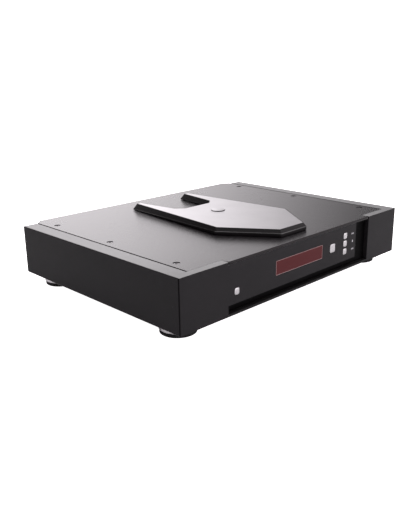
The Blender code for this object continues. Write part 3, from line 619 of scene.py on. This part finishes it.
def cover_outline():
    """The cover's front tongue reaches between the front panel's two corner blocks."""
    left = TONGUE_LEFT + SEAM
    right = TONGUE_RIGHT - SEAM
    return [
        *arc(left + NOSE_CORNER, FRONT + NOSE_CORNER, NOSE_CORNER, 180, 270, 10),
        *arc(right - NOSE_CORNER, FRONT + NOSE_CORNER, NOSE_CORNER, -90, 0, 10),
        (right, PANEL_BACK + SEAM),
        (COVER_HALF, PANEL_BACK + SEAM),
        (COVER_HALF, REAR - COVER_CHAMFER),
        (COVER_HALF - COVER_CHAMFER, REAR),
        (COVER_CHAMFER - COVER_HALF, REAR),
        (-COVER_HALF, REAR - COVER_CHAMFER),
        (-COVER_HALF, PANEL_BACK + SEAM),
        (left, PANEL_BACK + SEAM),
    ]


def make_top_cover():
    shape = prism(cover_outline(), "Z", COVER_UNDER, TOP)
    nose_end = FRONT + NOSE_CORNER + GAP
    nose = [
        edge for edge in shape.edges
        if all(vert.co.z > TOP - GAP and vert.co.y < nose_end for vert in edge.verts)
    ]
    bmesh.ops.bevel(shape, geom=nose, offset=COVER_NOSE, segments=6, profile=0.5, affect="EDGES")
    cover = mesh_object("top_cover_plate", shape)
    through = (COVER_UNDER - PLATE, TOP + PLATE)
    for side in (-1, 1):
        left = side * HINGE_X - MIDDLE_KNUCKLE - 2 * GAP
        right = side * HINGE_X + MIDDLE_KNUCKLE + 2 * GAP
        cut(cover, block(left, right, HINGE_Y - HINGE_SLOT, HINGE_Y + HINGE_SLOT, *through))
    cut(cover, rod(WELL_RADIUS, 0, SPINDLE_Y, "Z", *through, 128))
    sink = [
        (0, -0.004), (SINK_BORE, -0.004), (SINK_BORE, -0.0026), (SINK_RADIUS, -SCREW_DEPTH),
        (SINK_RADIUS, PLATE), (0, PLATE),
    ]
    for side in (-1, 1):
        for y in SCREW_Y:
            cut(cover, turned(sink, (side * SCREW_X, y, TOP), steps=48))
    dress(cover, "cover", "case", ["top_cover"], 0.0001, 2)
    # Painted shade: the cover's sides, the walls of the groove along each cheek, take the
    # near-black material.
    paint_shade_or_highlight(cover, "edge", lambda face: abs(face.center.x) > COVER_HALF - GAP
                  and abs(face.normal.x) > 0.7)

    # Painted shade: the countersinks take the near-black material, standing for the shade in them.
    def in_sink(face):
        spread = [math.hypot(abs(face.center.x) - SCREW_X, face.center.y - y) for y in SCREW_Y]
        return face.center.z < TOP - SEAM and min(spread) < SINK_RADIUS + SEAM

    paint_shade_or_highlight(cover, "edge", in_sink)


def make_cover_screws():
    head_top = TOP - SCREW_DEPTH
    profile = [
        (0, -0.0058), (0.0014, -0.0058), (SCREW_SHANK, -0.0019), (0.0035, -0.0002),
        (0.0037, -0.00005), (0.0036, 0), (0, 0),
    ]
    for side, side_name in ((-1, "left"), (1, "right")):
        for y, place in zip(SCREW_Y, ("front", "middle", "rear")):
            node = f"{side_name}_{place}_cover_screw"
            x = side * SCREW_X
            screw = mesh_object(node + "_head", turned(profile, (x, y, head_top), steps=48))
            cut(screw, rod(0.0016, x, y, "Z", head_top - 0.0014, head_top + PLATE, 6))
            dress(screw, "screw", "case", [node], 0.00005, 2)


def make_rear_panel():
    wide = HALF_WIDTH - CHEEK_WALL - GAP
    narrow = LEDGE_INNER - GAP
    low, high = FLOOR_TOP + GAP, COVER_UNDER - GAP
    step = PLATE + GAP
    outline = [
        (-narrow, low), (narrow, low), (narrow, low + step), (wide, low + step),
        (wide, high - step), (narrow, high - step), (narrow, high), (-narrow, high),
        (-narrow, high - step), (-wide, high - step), (-wide, low + step), (-narrow, low + step),
    ]
    panel = mesh_object("rear_panel_sheet", prism(outline, "Y", REAR_LOW.y, REAR_FACE))
    through = (REAR_LOW.y - PLATE, REAR_FACE + PLATE)
    cut(panel, prism(rounded(INLET_X, SOCKET_Z, 0.0280, 0.0206, 0.001), "Y", *through))
    half = 0.0051
    optical = rectangle(OPTICAL_X - half, OPTICAL_X + half, SOCKET_Z - half, SOCKET_Z + half)
    cut(panel, prism(optical, "Y", *through))
    for _, x, _ in ROUND_SOCKETS:
        cut(panel, rod(0.004, x, SOCKET_Z, "Y", *through))
    dress(panel, "base", "case", ["rear_panel"], 0.0002, 2)


def make_rear_fasteners():
    """Dome-headed screws with a cross: eight round the rear panel and two beside the inlet."""
    low, high = FLOOR_TOP + 0.006, COVER_UNDER - 0.006
    places = [(x, z) for x in (-0.168, -0.060, 0.060, 0.168) for z in (low, high)]
    places += [(INLET_X - 0.020, SOCKET_Z), (INLET_X + 0.020, SOCKET_Z)]
    dome = [
        (0, 0.0013), (0.0009, 0.00125), (0.0018, 0.0010), (0.0025, 0.0005), (0.0027, 0), (0, 0),
    ]
    slot_half, slot_share, slot_floor = 0.0014, 0.18, 0.0006
    for number, (x, z) in enumerate(places, 1):
        screw = mesh_object(f"rear_screw_{number:02d}", turned(dome, (x, REAR_FACE, z), "Y", 40))
        for angle in (math.radians(45), math.radians(135)):
            across = Vector((math.cos(angle), math.sin(angle))) * slot_half
            side = Vector((-across.y, across.x)) * slot_share
            corners = [across + side, side - across, -across - side, across - side]
            slot = [(x + corner.x, z + corner.y) for corner in corners]
            cut(screw, prism(slot, "Y", REAR_FACE + slot_floor, REAR_FACE + PLATE))
        dress(screw, "screw", "case", soft=0.00004, segments=1)


def make_feet():
    ring = [
        (FOOT_BORE, PAD_HEIGHT), (FOOT_RADIUS - 0.0009, PAD_HEIGHT),
        *arc(FOOT_RADIUS - 0.0007, PAD_HEIGHT + 0.0007, 0.0007, -90, 0, 6),
        (FOOT_RADIUS, 0.0086), (FOOT_RADIUS - 0.0003, 0.0088), (FOOT_RADIUS - 0.0003, 0.0092),
        (FOOT_RADIUS, 0.0094),
        *arc(FOOT_RADIUS - 0.0007, BOTTOM - GAP - 0.0007, 0.0007, 0, 90, 6),
        (FOOT_BORE, BOTTOM - GAP),
    ]
    pad = [
        (0, 0), *arc(PAD_RADIUS - 0.0009, 0.0009, 0.0009, -90, 0, 8),
        (PAD_RADIUS, PAD_HEIGHT - GAP), (PAD_STEM, PAD_HEIGHT - GAP), (PAD_STEM, 0.010), (0, 0.010),
    ]
    for place in CORNERS:
        low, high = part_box(place + "_foot_pad")
        centre = ((low.x + high.x) / 2, (low.y + high.y) / 2, 0)
        shell = mesh_object(place + "_foot_collar", turned(ring, centre, steps=128), centre)
        dress(shell, "foot", "case", [place + "_foot_ring"], 0, smooth=50)
        sole = mesh_object(place + "_foot_sole", turned(pad, centre, steps=128), centre)
        dress(sole, "rubber", "case", [place + "_foot_pad"], 0, smooth=50)


# ---- front controls

def button_face(name):
    """Centre and size of a key's cap, from its flange in the frame."""
    low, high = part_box(name)
    width, height = high.x - low.x - FLANGE_WIDER, high.z - low.z - FLANGE_TALLER
    return (low.x + high.x) / 2, (low.z + high.z) / 2, width, height


def make_display():
    middle = (WINDOW_LOW + WINDOW_HIGH) / 2
    size = WINDOW_HIGH - WINDOW_LOW
    face = WINDOW_LOW.y

    def inset(distance, radius):
        return rounded(middle.x, middle.z, size.x - 2 * distance, size.z - 2 * distance, radius)

    window = mesh_object("display_filter", prism(inset(0, 0.0006), "Y", face, WINDOW_HIGH.y))
    dress(window, "display", "case", ["display_window"], 0.0002, 2)
    # Painted highlight: a thin light strip just inside the window's edge, standing for the
    # highlight on that edge.
    edge, line = 0.0001, 0.0005
    outer = inset(edge, 0.0006)
    painted_rim_highlight = mesh_object("display_rim_highlight_strip", prism(outer, "Y", face - 0.00003, face + 0.0002))
    cut(painted_rim_highlight, prism(inset(edge + line, 0.0003), "Y", face - PLATE, WINDOW_HIGH.y))
    dress(painted_rim_highlight, "painted_rim_highlight", "case", soft=0)


def make_buttons():
    """Each key is a soft-cornered cap on a flange, its crown part parabola and part circle."""
    flange_front = PANEL_BACK + GAP
    for name in BUTTON_NAMES:
        x, z, width, height = button_face(name)
        low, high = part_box(name)
        rings = []
        for share in (0.0, 0.12, 0.25, 0.4, 0.55, 0.7, 0.82, 0.91, 0.97, 1.0):
            inward = width * 0.42 * (1 - share)
            depth = BUTTON_CROWN * (0.55 * share ** 2 + 0.45 * (1 - math.sqrt(1 - share ** 2)))
            corner = min(BUTTON_CORNER, 0.42 * (width - 2 * inward))
            outline = rounded(x, z, width - 2 * inward, height - 2 * inward, corner)
            rings.append([(u, low.y + depth, v) for u, v in outline])
        rim = rounded(x, z, width, height, BUTTON_CORNER)
        rings.append([(u, flange_front + GAP, v) for u, v in rim])
        button = mesh_object(name + "_cap", loft(rings), (x, FRONT, z))
        flange = rounded(x, z, width + FLANGE_WIDER, height + FLANGE_TALLER, BUTTON_CORNER)
        join(button, prism(flange, "Y", flange_front, high.y))
        body = name.replace("_button", "_key")
        dress(button, "key", body, [name], 0, smooth=50)


def make_signs():
    """Printed transport signs beside the three small keys."""
    size = SIGN_SIZE
    triangle = [(0, -size), (size * 2, 0), (0, size)]
    skip = [[(u - size * 2.1, v) for u, v in triangle], triangle]
    signs = {
        "next": skip,
        "previous": [mirrored(part) for part in skip],
        "stop": [rectangle(-size * 0.8, size * 0.8, -size * 1.1, size * 1.1)],
    }
    for name, parts in signs.items():
        _, z, _, _ = button_face(name + "_button")
        shape = bmesh.new()
        for part in parts:
            points = [(SIGN_X + u, FRONT - 0.00002, z + v) for u, v in part]
            shape.faces.new([shape.verts.new(point) for point in points])
        dress(mesh_object(name + "_sign", shape), "ink", "case", soft=0)


# ---- lid

def bend_height(y):
    """The skirt's bend line is high at the front and falls towards the arms' ends."""
    share = (y - BEND_FRONT_Y) / (BEND_REAR_Y - BEND_FRONT_Y)
    return TOP + BEND_FRONT + (BEND_REAR - BEND_FRONT) * share ** 2


def skirt_ring(distance, radius, height):
    """A ring of the skirt, offset from the silver top. height is a number or a function of y."""
    reach = ARM_REACH * max(0.0, distance - 2 * LID_RIM) / (LID_SKIRT - 2 * LID_RIM)
    ring = filleted(offset(lid_outline(reach), distance), radius)
    return [(x, y, height(y) if callable(height) else height) for x, y in ring]


def make_lid_body():
    """A loft from the skirt's foot up to its bend line, and over the bevel to the rim.

    The heels at the arms' ends are round about the hinge, so that they turn clear of the cover.
    """
    def bevel(y):
        """The bevel's rise over the first 0.4 mm inwards from the bend line."""
        return (LID_TOP - bend_height(y)) * 0.0004 / (LID_SKIRT - 2 * LID_RIM)

    rings = [
        skirt_ring(LID_SKIRT - 0.0002, 0.0013, LID_UNDER),
        skirt_ring(LID_SKIRT - 0.00006, 0.00144, LID_UNDER + 0.00006),
        skirt_ring(LID_SKIRT, 0.0015, LID_UNDER + 0.0002),
        skirt_ring(LID_SKIRT, 0.0015, lambda y: bend_height(y) - 0.0002),
        skirt_ring(LID_SKIRT - 0.00012, 0.00144, lambda y: bend_height(y) + 0.00014),
        skirt_ring(LID_SKIRT - 0.0004, 0.0013, lambda y: bend_height(y) + bevel(y)),
        skirt_ring(2 * LID_RIM + 0.0004, 0.0004, lambda y: LID_TOP - bevel(y)),
        skirt_ring(2 * LID_RIM + 0.0001, 0.0003, LID_TOP - 0.00008),
        skirt_ring(2 * LID_RIM - 0.0001, 0.00025, LID_TOP),
    ]
    lid = mesh_object("lid_moulding", loft(rings), HINGE)
    heel = [
        *arc(HINGE_Y, HINGE_Z, KNUCKLE_RADIUS, -90, 20, 24),
        (HINGE_Y + 0.006, HINGE_Z + 0.0007),
        (HINGE_Y + 0.006, HINGE_Z - 0.004),
        (HINGE_Y, HINGE_Z - 0.004),
    ]
    cut(lid, prism(heel, "X", -0.06, 0.06))
    seat = filleted(offset(lid_outline(), LID_RIM), LID_SEAT_CORNER)
    cut(lid, prism(seat, "Z", LID_TOP - LID_PLATE - GAP, LID_TOP + PLATE))
    hollow = (LID_UNDER - PLATE, LID_UNDER + LID_HOLLOW)
    cut(lid, rod(LID_HOLLOW_RADIUS, 0, SPINDLE_Y, "Z", *hollow, 128))
    clear = KNUCKLE_RADIUS + 2 * GAP
    knuckle_gap = [
        *arc(HINGE_Y, HINGE_Z, clear, 90, 270, 16),
        (HINGE_Y + 0.010, HINGE_Z - clear),
        (HINGE_Y + 0.010, HINGE_Z + clear),
    ]
    half_gap = MIDDLE_KNUCKLE + GAP
    for x in (-HINGE_X, HINGE_X):
        cut(lid, prism(knuckle_gap, "X", x - half_gap, x + half_gap))
        cut(lid, rod(BORE_RADIUS, HINGE_Y, HINGE_Z, "X", x - BORE_HALF, x + BORE_HALF, 32))
    dress(lid, "lid_black", "lid", ["lid_body"], 0, smooth=28)

    # Painted highlight: the faces along the skirt's bend line take the strongly reflective
    # material.
    def on_painted_highlight(face):
        above_bend = face.center.z + HINGE_Z - bend_height(face.center.y + HINGE_Y)
        return abs(above_bend) < BEND_HIGHLIGHT_BAND and face.normal.z > 0.1

    paint_shade_or_highlight(lid, "lid_bend_painted_highlight", on_painted_highlight)


def make_lid_plate():
    shape = prism(filleted(lid_outline(), 0.00025), "Z", LID_TOP - LID_PLATE, LID_TOP)
    plate = mesh_object("lid_silver_plate", shape, HINGE)
    seat = (LID_TOP - BADGE_SEAT, LID_TOP + PLATE)
    cut(plate, rod(BADGE_RADIUS + 2 * GAP, 0, BADGE_Y, "Z", *seat, 96))
    dress(plate, "silver", "lid", ["lid_plate"], 0.00015, 2)
    badge = [
        (0, -BADGE_ROOT), (BADGE_RADIUS, -BADGE_ROOT), (BADGE_RADIUS, BADGE_RISE - 0.0002),
        (BADGE_RADIUS - 0.0001, BADGE_RISE - 0.00006), (BADGE_RADIUS - 0.00035, BADGE_RISE),
        (0, BADGE_RISE),
    ]
    centre = (0, BADGE_Y, LID_TOP)
    disc = mesh_object("lid_round_badge", turned(badge, centre), centre)
    dress(disc, "silver", "lid", ["lid_badge"], 0, smooth=30)
    # Painted shade: the badge's side faces take the near-black material, standing for the shade in
    # the gap round it.
    paint_shade_or_highlight(disc, "ring", lambda face: abs(face.normal.z) < 0.9)


def make_lid_bumpers():
    """Four soft bumpers under the lid, clear of the cover."""
    profile = [
        (0, 0.0002), (0.0028, 0.0002), (0.0031, -0.00005), (0.0031, -0.0001), (0.0026, -0.00025),
        (0, -0.0003),
    ]
    for name, x, y in (
        ("front_left", -0.0250, -0.1235), ("front_right", 0.0250, -0.1235),
        ("middle_left", -0.0460, 0.0200), ("middle_right", 0.0460, 0.0200),
    ):
        centre = (x, y, LID_UNDER)
        bumper = mesh_object(f"lid_bumper_{name}", turned(profile, centre, steps=48), centre)
        dress(bumper, "rubber", "lid", soft=0)


def make_hinges():
    for side, side_name in ((-1, "left"), (1, "right")):
        x = side * HINGE_X
        low, high = x - MIDDLE_KNUCKLE, x + MIDDLE_KNUCKLE
        foot_top = COVER_UNDER - GAP
        stem = 0.0011
        node = f"{side_name}_hinge_bracket"
        plate = block(x - LEAF_HALF_WIDTH, x + LEAF_HALF_WIDTH, HINGE_Y - LEAF_HALF_LENGTH,
                      HINGE_Y + LEAF_HALF_LENGTH, foot_top - 0.002, foot_top)
        bracket = mesh_object(node + "_leaf", plate)
        join(bracket, block(low, high, HINGE_Y - stem, HINGE_Y + stem, foot_top - 0.001, HINGE_Z))
        join(bracket, rod(KNUCKLE_RADIUS, HINGE_Y, HINGE_Z, "X", low, high))
        cut(bracket, rod(BORE_RADIUS, HINGE_Y, HINGE_Z, "X", low - PLATE, high + PLATE, 32))
        dress(bracket, "screw", "case", [node], 0.0001, 2)
        node = f"{side_name}_hinge_pin"
        shape = rod(PIN_RADIUS, HINGE_Y, HINGE_Z, "X", x - PIN_HALF, x + PIN_HALF, 32)
        pin = mesh_object(node + "_rod", shape)
        dress(pin, "steel", frame["nodes"][node]["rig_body"], [node], 0.0001, 2)


# ---- disc drive

def make_drive_deck():
    """The round well: a flanged tray with a soft foot to its wall and fine grooves on its floor."""
    wall, foot, groove = 0.002, 0.0012, 0.0003
    under = WELL_FLOOR - wall
    flange = COVER_UNDER - GAP
    grooves = []
    for radius in (0.0600, 0.0560, 0.0235, 0.0200):
        grooves += [
            (radius, WELL_FLOOR), (radius - 0.0002, WELL_FLOOR - groove),
            (radius - 0.0008, WELL_FLOOR - groove), (radius - 0.0010, WELL_FLOOR),
        ]
    profile = [
        (WELL_BORE, under), (WELL_RADIUS + wall, under), (WELL_RADIUS + wall, flange - wall),
        (WELL_RADIUS + 0.007, flange - wall), (WELL_RADIUS + 0.007, flange), (WELL_RADIUS, flange),
        *arc(WELL_RADIUS - foot, WELL_FLOOR + foot, foot, 0, -90, 6),
        *grooves, (WELL_BORE, WELL_FLOOR),
    ]
    deck = mesh_object("drive_well", turned(profile, (0, SPINDLE_Y, 0), steps=128))
    slot = rounded(0, SPINDLE_Y + 0.03825, 0.014, 0.0565, 0.0002, 2)
    cut(deck, prism(slot, "Z", under - PLATE, WELL_FLOOR + 0.0045))
    dress(deck, "plastic", "case", ["drive_deck"], 0.0001, 2)


def make_hub():
    """The hub on its shaft, with a soft ring under the disc and three balls that centre it."""
    pivot = (0, SPINDLE_Y, DISC_SEAT)
    shaft_foot, shaft_top = CHASSIS_TOP - 0.0045, CHASSIS_TOP + 0.0050
    nose_top = DISC_SEAT + 0.0026
    hub = [
        (0, shaft_foot), (0.001, shaft_foot), (0.001, shaft_top),
        (0.005, shaft_top), (0.005, DISC_SEAT - 0.0048), (HUB_RADIUS - 0.0003, DISC_SEAT - 0.0029),
        (HUB_RADIUS, DISC_SEAT - 0.0025), (HUB_RADIUS, DISC_SEAT - 0.0003),
        (HUB_RADIUS - 0.0003, DISC_SEAT - 0.0001), (HUB_RADIUS - 0.0008, DISC_SEAT - 0.0002),
        (0.0100, DISC_SEAT - 0.0002), (0.0098, DISC_SEAT - 0.0003),
        (NOSE_RADIUS, DISC_SEAT - 0.0003), (NOSE_RADIUS, DISC_SEAT + 0.0016),
        *arc(NOSE_RADIUS - 0.0015, DISC_SEAT + 0.0016, 0.0015, 0, 90, 8),
        (0.0030, DISC_SEAT + 0.0031), (0.0026, nose_top), (0, nose_top),
    ]
    shell = mesh_object("hub_platter", turned(hub, (0, SPINDLE_Y, 0)), pivot)
    dress(shell, "plastic", "disc_spindle", ["turntable_hub"], 0, smooth=30)
    grip = [
        (0.0102, -0.0002), (HUB_RADIUS - 0.0010, -0.0002), (HUB_RADIUS - 0.0010, -0.00005),
        (HUB_RADIUS - 0.0012, 0), (0.0104, 0), (0.0102, -0.00005),
    ]
    ring = mesh_object("hub_grip_ring", turned(grip, pivot), pivot)
    dress(ring, "rubber", "disc_spindle", soft=0)
    reach = NOSE_RADIUS - BALL_RADIUS
    for number in range(3):
        angle = math.radians(90 + 120 * number)
        place = (reach * math.cos(angle), SPINDLE_Y + reach * math.sin(angle), DISC_SEAT + 0.0010)
        shape = bmesh.new()
        bmesh.ops.create_icosphere(shape, subdivisions=4, radius=BALL_RADIUS,
                                   matrix=Matrix.Translation(place))
        ball = mesh_object(f"hub_ball_{number + 1}", shape)
        dress(ball, "steel", "disc_spindle", soft=0)


def make_sled():
    """The pickup's carriage on two rails, with a turret round the lens and a nut on its side."""
    pivot = (0, LENS_Y, RAIL_Z)
    low, high = CHASSIS_TOP + 0.0005, WELL_FLOOR - 0.0026
    front, rear = LENS_Y - 0.010, LENS_Y + 0.018
    outline = rounded(0, (front + rear) / 2, 0.040, rear - front, 0.002)
    sled = mesh_object("sled_carriage", prism(outline, "Z", low, high), pivot)
    join(sled, rod(0.0052, 0, LENS_Y, "Z", high - 0.001, WELL_FLOOR + 0.0015, 64))
    _, node_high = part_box("pickup_sled")
    nut_top = LEAD_SCREW_Z + 0.0036
    join(sled, block(0.018, node_high.x, LENS_Y, LENS_Y + 0.010, low, nut_top))
    for x in (-RAIL_X, RAIL_X):
        cut(sled, rod(RAIL_BORE, x, RAIL_Z, "Y", front - PLATE, rear + PLATE, 32))
    thread = (LENS_Y - PLATE, LENS_Y + 0.013)
    cut(sled, rod(LEAD_SCREW_BORE, LEAD_SCREW_X, LEAD_SCREW_Z, "Y", *thread, 32))
    cut(sled, rod(LENS_BORE, 0, LENS_Y, "Z", WELL_FLOOR - 0.0020, WELL_FLOOR + 0.004, 48))
    dress(sled, "plastic", "sled", ["pickup_sled"], 0.0002, 2)
    lens_rim = WELL_FLOOR + 0.0024
    lens = [
        (0, WELL_FLOOR - 0.0008), (LENS_RADIUS, WELL_FLOOR - 0.0008),
        (LENS_RADIUS, WELL_FLOOR + 0.0022), (0.0027, lens_rim), (0.0022, lens_rim),
        *arc(0, WELL_FLOOR + 0.0005, 0.0027, 42, 90, 10),
    ]
    eye = mesh_object("pickup_eye", turned(lens, (0, LENS_Y, 0), steps=64), (0, LENS_Y, WELL_FLOOR))
    dress(eye, "glass", "lens", ["pickup_lens"], 0)


# ---- sockets

def make_mains_inlet():
    flange_front = REAR_FACE + GAP
    flange_rear = flange_front + 0.0025
    flange = rounded(INLET_X, SOCKET_Z, 0.0320, 0.0246, 0.0015)
    inlet = mesh_object("mains_inlet_moulding", prism(flange, "Y", flange_front, flange_rear))
    body = rounded(INLET_X, SOCKET_Z, 0.0274, 0.0200, 0.001)
    join(inlet, prism(body, "Y", REAR_FACE - 0.022, flange_rear - 0.001))
    half, low, high, corner = 0.0122, SOCKET_Z - 0.0083, SOCKET_Z + 0.0083, 0.0045
    left, right = INLET_X - half, INLET_X + half
    cavity = [
        (left, low), (right, low), (right, high - corner),
        (right - corner, high), (left + corner, high), (left, high - corner),
    ]
    cut(inlet, prism(cavity, "Y", flange_rear - 0.0165, flange_rear + PLATE))
    dress(inlet, "plastic", "case", ["mains_inlet"], 0.0002, 2)
    for name, x, z in (("line", -0.007, -0.002), ("neutral", 0.007, -0.002), ("earth", 0, 0.002)):
        shape = block(INLET_X + x - 0.001, INLET_X + x + 0.001,
                      flange_rear - 0.0167, flange_rear - 0.0025,
                      SOCKET_Z + z - 0.002, SOCKET_Z + z + 0.002)
        dress(mesh_object(f"inlet_{name}_blade", shape), "steel", "case")


def make_signal_sockets():
    inside = REAR_LOW.y - GAP
    flange = REAR_FACE + GAP
    shell = [
        (0, inside - 0.006), (0.0055, inside - 0.006), (0.0055, inside), (0.0037, inside),
        (0.0037, flange), (0.006, flange), (0.006, flange + 0.0011), (0.0058, flange + 0.0013),
        (0.00415, flange + 0.0013), (0.00415, flange + 0.0101), (0.00400, flange + 0.0103),
        (0.0036, flange + 0.0103), (0.0036, flange + 0.0020), (0, flange + 0.0020),
    ]
    insert = [
        (0.0017, flange + 0.0021), (0.0035, flange + 0.0021), (0.0035, flange + 0.0099),
        (0.0033, flange + 0.0101), (0.0019, flange + 0.0101), (0.0017, flange + 0.0099),
    ]
    for node, x, colour in ROUND_SOCKETS:
        socket = mesh_object(node + "_shell", turned(shell, (x, 0, SOCKET_Z), "Y", 64))
        dress(socket, "gold", "case", [node], 0)
        core = mesh_object(node + "_insert", turned(insert, (x, 0, SOCKET_Z), "Y", 64))
        dress(core, colour, "case", soft=0)
    outline = rounded(OPTICAL_X, SOCKET_Z, 0.0130, 0.0130, 0.001)
    optical = mesh_object("optical_socket_moulding", prism(outline, "Y", flange, flange + 0.0012))
    half = 0.0048
    join(optical, block(OPTICAL_X - half, OPTICAL_X + half, REAR_FACE - 0.014, flange + 0.0006,
                        SOCKET_Z - half, SOCKET_Z + half))
    mouth = rounded(OPTICAL_X, SOCKET_Z, 0.006, 0.006, 0.0008)
    cut(optical, prism(mouth, "Y", flange + 0.0002, flange + PLATE))
    dress(optical, "plastic", "case", ["optical_socket"], 0.0002, 2)
    leaf = rounded(OPTICAL_X, SOCKET_Z, 0.0056, 0.0056, 0.0007)
    door = mesh_object("optical_door", prism(leaf, "Y", flange + 0.00025, flange + 0.0006))
    dress(door, "base", "case", soft=0.0001, segments=2)


# ---- carried-over CAD nodes

def finish_cad_nodes():
    """The CAD nodes whose shape is right as it is keep it and take a fine finish."""
    for material, names in (
        ("base", ["base_plate"]),
        ("liner", ["recess_liner"]),
        ("module", ["display_module"]),
        ("board", ["front_board", "main_board", "power_board"]),
        ("winding", ["transformer"]),
        ("sleeve", ["left_capacitor", "right_capacitor"]),
        ("steel", ["mechanism_chassis", "spindle_motor", "sled_motor", "left_sled_rail",
                   "right_sled_rail", "lead_screw"]),
        ("rubber", [place + "_isolation_mount" for place in CORNERS]),
    ):
        for name in names:
            node = frame["nodes"][name]
            node.data.materials.clear()
            node.data.materials.append(FINISH[material])


# ---- studio

CAMERA_PLACE = (-0.623427, -0.617953, 0.294648)
CAMERA_AZIMUTH = 0.771329
CAMERA_ELEVATION = 0.297825
CAMERA_ROLL = -0.014715
CAMERA_LENS = 43.452
CAMERA_SHIFT = (0.00405, -0.01954)
FLOOR_HALF = 12
FLOOR_DROP = 0.0002
WHITE_LEVEL = 1.1
AMBIENT_LEVEL = 0.1


def make_camera():
    """Three-quarter view from the front left, a little above the object."""
    level = math.cos(CAMERA_ELEVATION)
    forward = Vector((math.sin(CAMERA_AZIMUTH) * level, math.cos(CAMERA_AZIMUTH) * level,
                      -math.sin(CAMERA_ELEVATION)))
    aim = forward.to_track_quat("-Z", "Y").to_matrix().to_4x4()
    lens = bpy.data.cameras.new("camera")
    lens.lens = CAMERA_LENS
    lens.sensor_width = 36
    lens.sensor_fit = "AUTO"
    lens.shift_x, lens.shift_y = CAMERA_SHIFT
    lens.clip_start = 0.01
    camera = bpy.data.objects.new("camera", lens)
    roll = Matrix.Rotation(CAMERA_ROLL, 4, "Z")
    camera.matrix_world = Matrix.Translation(CAMERA_PLACE) @ aim @ roll
    bpy.context.scene.collection.objects.link(camera)
    bpy.context.scene.camera = camera


def make_floor():
    """A pale floor. Its glow is seen by the camera only, and lights nothing."""
    shape = bmesh.new()
    bmesh.ops.create_grid(shape, x_segments=1, y_segments=1, size=FLOOR_HALF)
    floor = mesh_object("studio_floor", shape)
    floor.location.z = -FLOOR_DROP
    pale = finish("floor_pale", (0.86, 0.855, 0.86), 0.9, specular=0.0, vary=0.01, bump=0)
    tree = pale.node_tree
    shader = tree.nodes["Principled BSDF"]
    shader.inputs["Emission Color"].default_value = (1, 0.99, 0.995, 1)
    seen = add_node(tree, "LightPath")
    lift = add_node(tree, "Math")
    lift.operation = "MULTIPLY"
    lift.inputs[1].default_value = WHITE_LEVEL
    link(tree, seen, "Is Camera Ray", lift, 0)
    link(tree, lift, "Value", shader, "Emission Strength")
    floor.data.materials.append(pale)


def make_world():
    """A studio round the table, with a bright band on each side and dark gaps between them.

    The camera sees plain white. Only reflections and light see the bands.
    """
    world = bpy.data.worlds.new("studio")
    world.use_nodes = True
    bpy.context.scene.world = world
    tree = world.node_tree
    place = add_node(tree, "TexCoord")
    split = add_node(tree, "SeparateXYZ")
    link(tree, place, "Generated", split, "Vector")
    bearing = add_node(tree, "Math")
    bearing.operation = "ARCTAN2"
    link(tree, split, "Y", bearing, 0)
    link(tree, split, "X", bearing, 1)

    def step(start, end, level):
        """From 0 at the bearing start to level at end, both in degrees from +X towards +Y."""
        (first, low), (last, high) = sorted([(start, 0), (end, level)])
        node = add_node(tree, "MapRange", From_Min=math.radians(first), From_Max=math.radians(last),
                        To_Min=low, To_Max=high)
        node.interpolation_type = "SMOOTHSTEP"
        link(tree, bearing, "Value", node, "Value")
        return node.outputs["Result"]

    def combine(operation, first, second):
        node = add_node(tree, "Math")
        node.operation = operation
        for value, socket in zip((first, second), node.inputs):
            if isinstance(value, float):
                socket.default_value = value
            else:
                tree.links.new(value, socket)
        return node.outputs["Value"]

    behind = combine("MULTIPLY", step(25, 59, 2.16), step(115, 80, 1.0))
    front = combine("MULTIPLY", step(-9, -54, 2.3), step(-140, -110, 1.0))
    left = combine("ADD", step(152, 176, 1.1), step(-152, -176, 1.1))
    right = combine("MULTIPLY", step(12, -4, 1.0), step(-36, -18, 1.0))
    level = combine("ADD", combine("ADD", behind, front), combine("ADD", left, right))
    level = combine("ADD", level, AMBIENT_LEVEL)
    seen = add_node(tree, "LightPath")
    mix = add_node(tree, "Mix")
    mix.data_type = "FLOAT"
    link(tree, seen, "Is Camera Ray", mix, "Factor")
    tree.links.new(level, mix.inputs["A"])
    mix.inputs["B"].default_value = WHITE_LEVEL
    background = tree.nodes["Background"]
    link(tree, mix, "Result", background, "Strength")
    background.inputs["Color"].default_value = (1.0, 0.958, 0.985, 1)


def make_overhead_light():
    """A square softbox over the middle of the table, facing down."""
    lamp = bpy.data.lights.new("overhead_softbox", "AREA")
    lamp.shape = "RECTANGLE"
    lamp.size = lamp.size_y = 3.0
    lamp.energy = 24
    light = bpy.data.objects.new("overhead_softbox", lamp)
    light.location = (0, 0, 2.4)
    light.visible_camera = False
    bpy.context.scene.collection.objects.link(light)


bpy.context.scene.view_settings.view_transform = "Standard"
for make in (
    make_camera, make_floor, make_world, make_overhead_light, make_cheeks, make_front_panel,
    make_top_cover, make_cover_screws, make_rear_panel, make_rear_fasteners, make_feet,
    make_display, make_buttons, make_signs, make_lid_body, make_lid_plate, make_lid_bumpers,
    make_hinges, make_drive_deck, make_hub, make_sled, make_mains_inlet, make_signal_sockets,
    finish_cad_nodes,
):
    make()
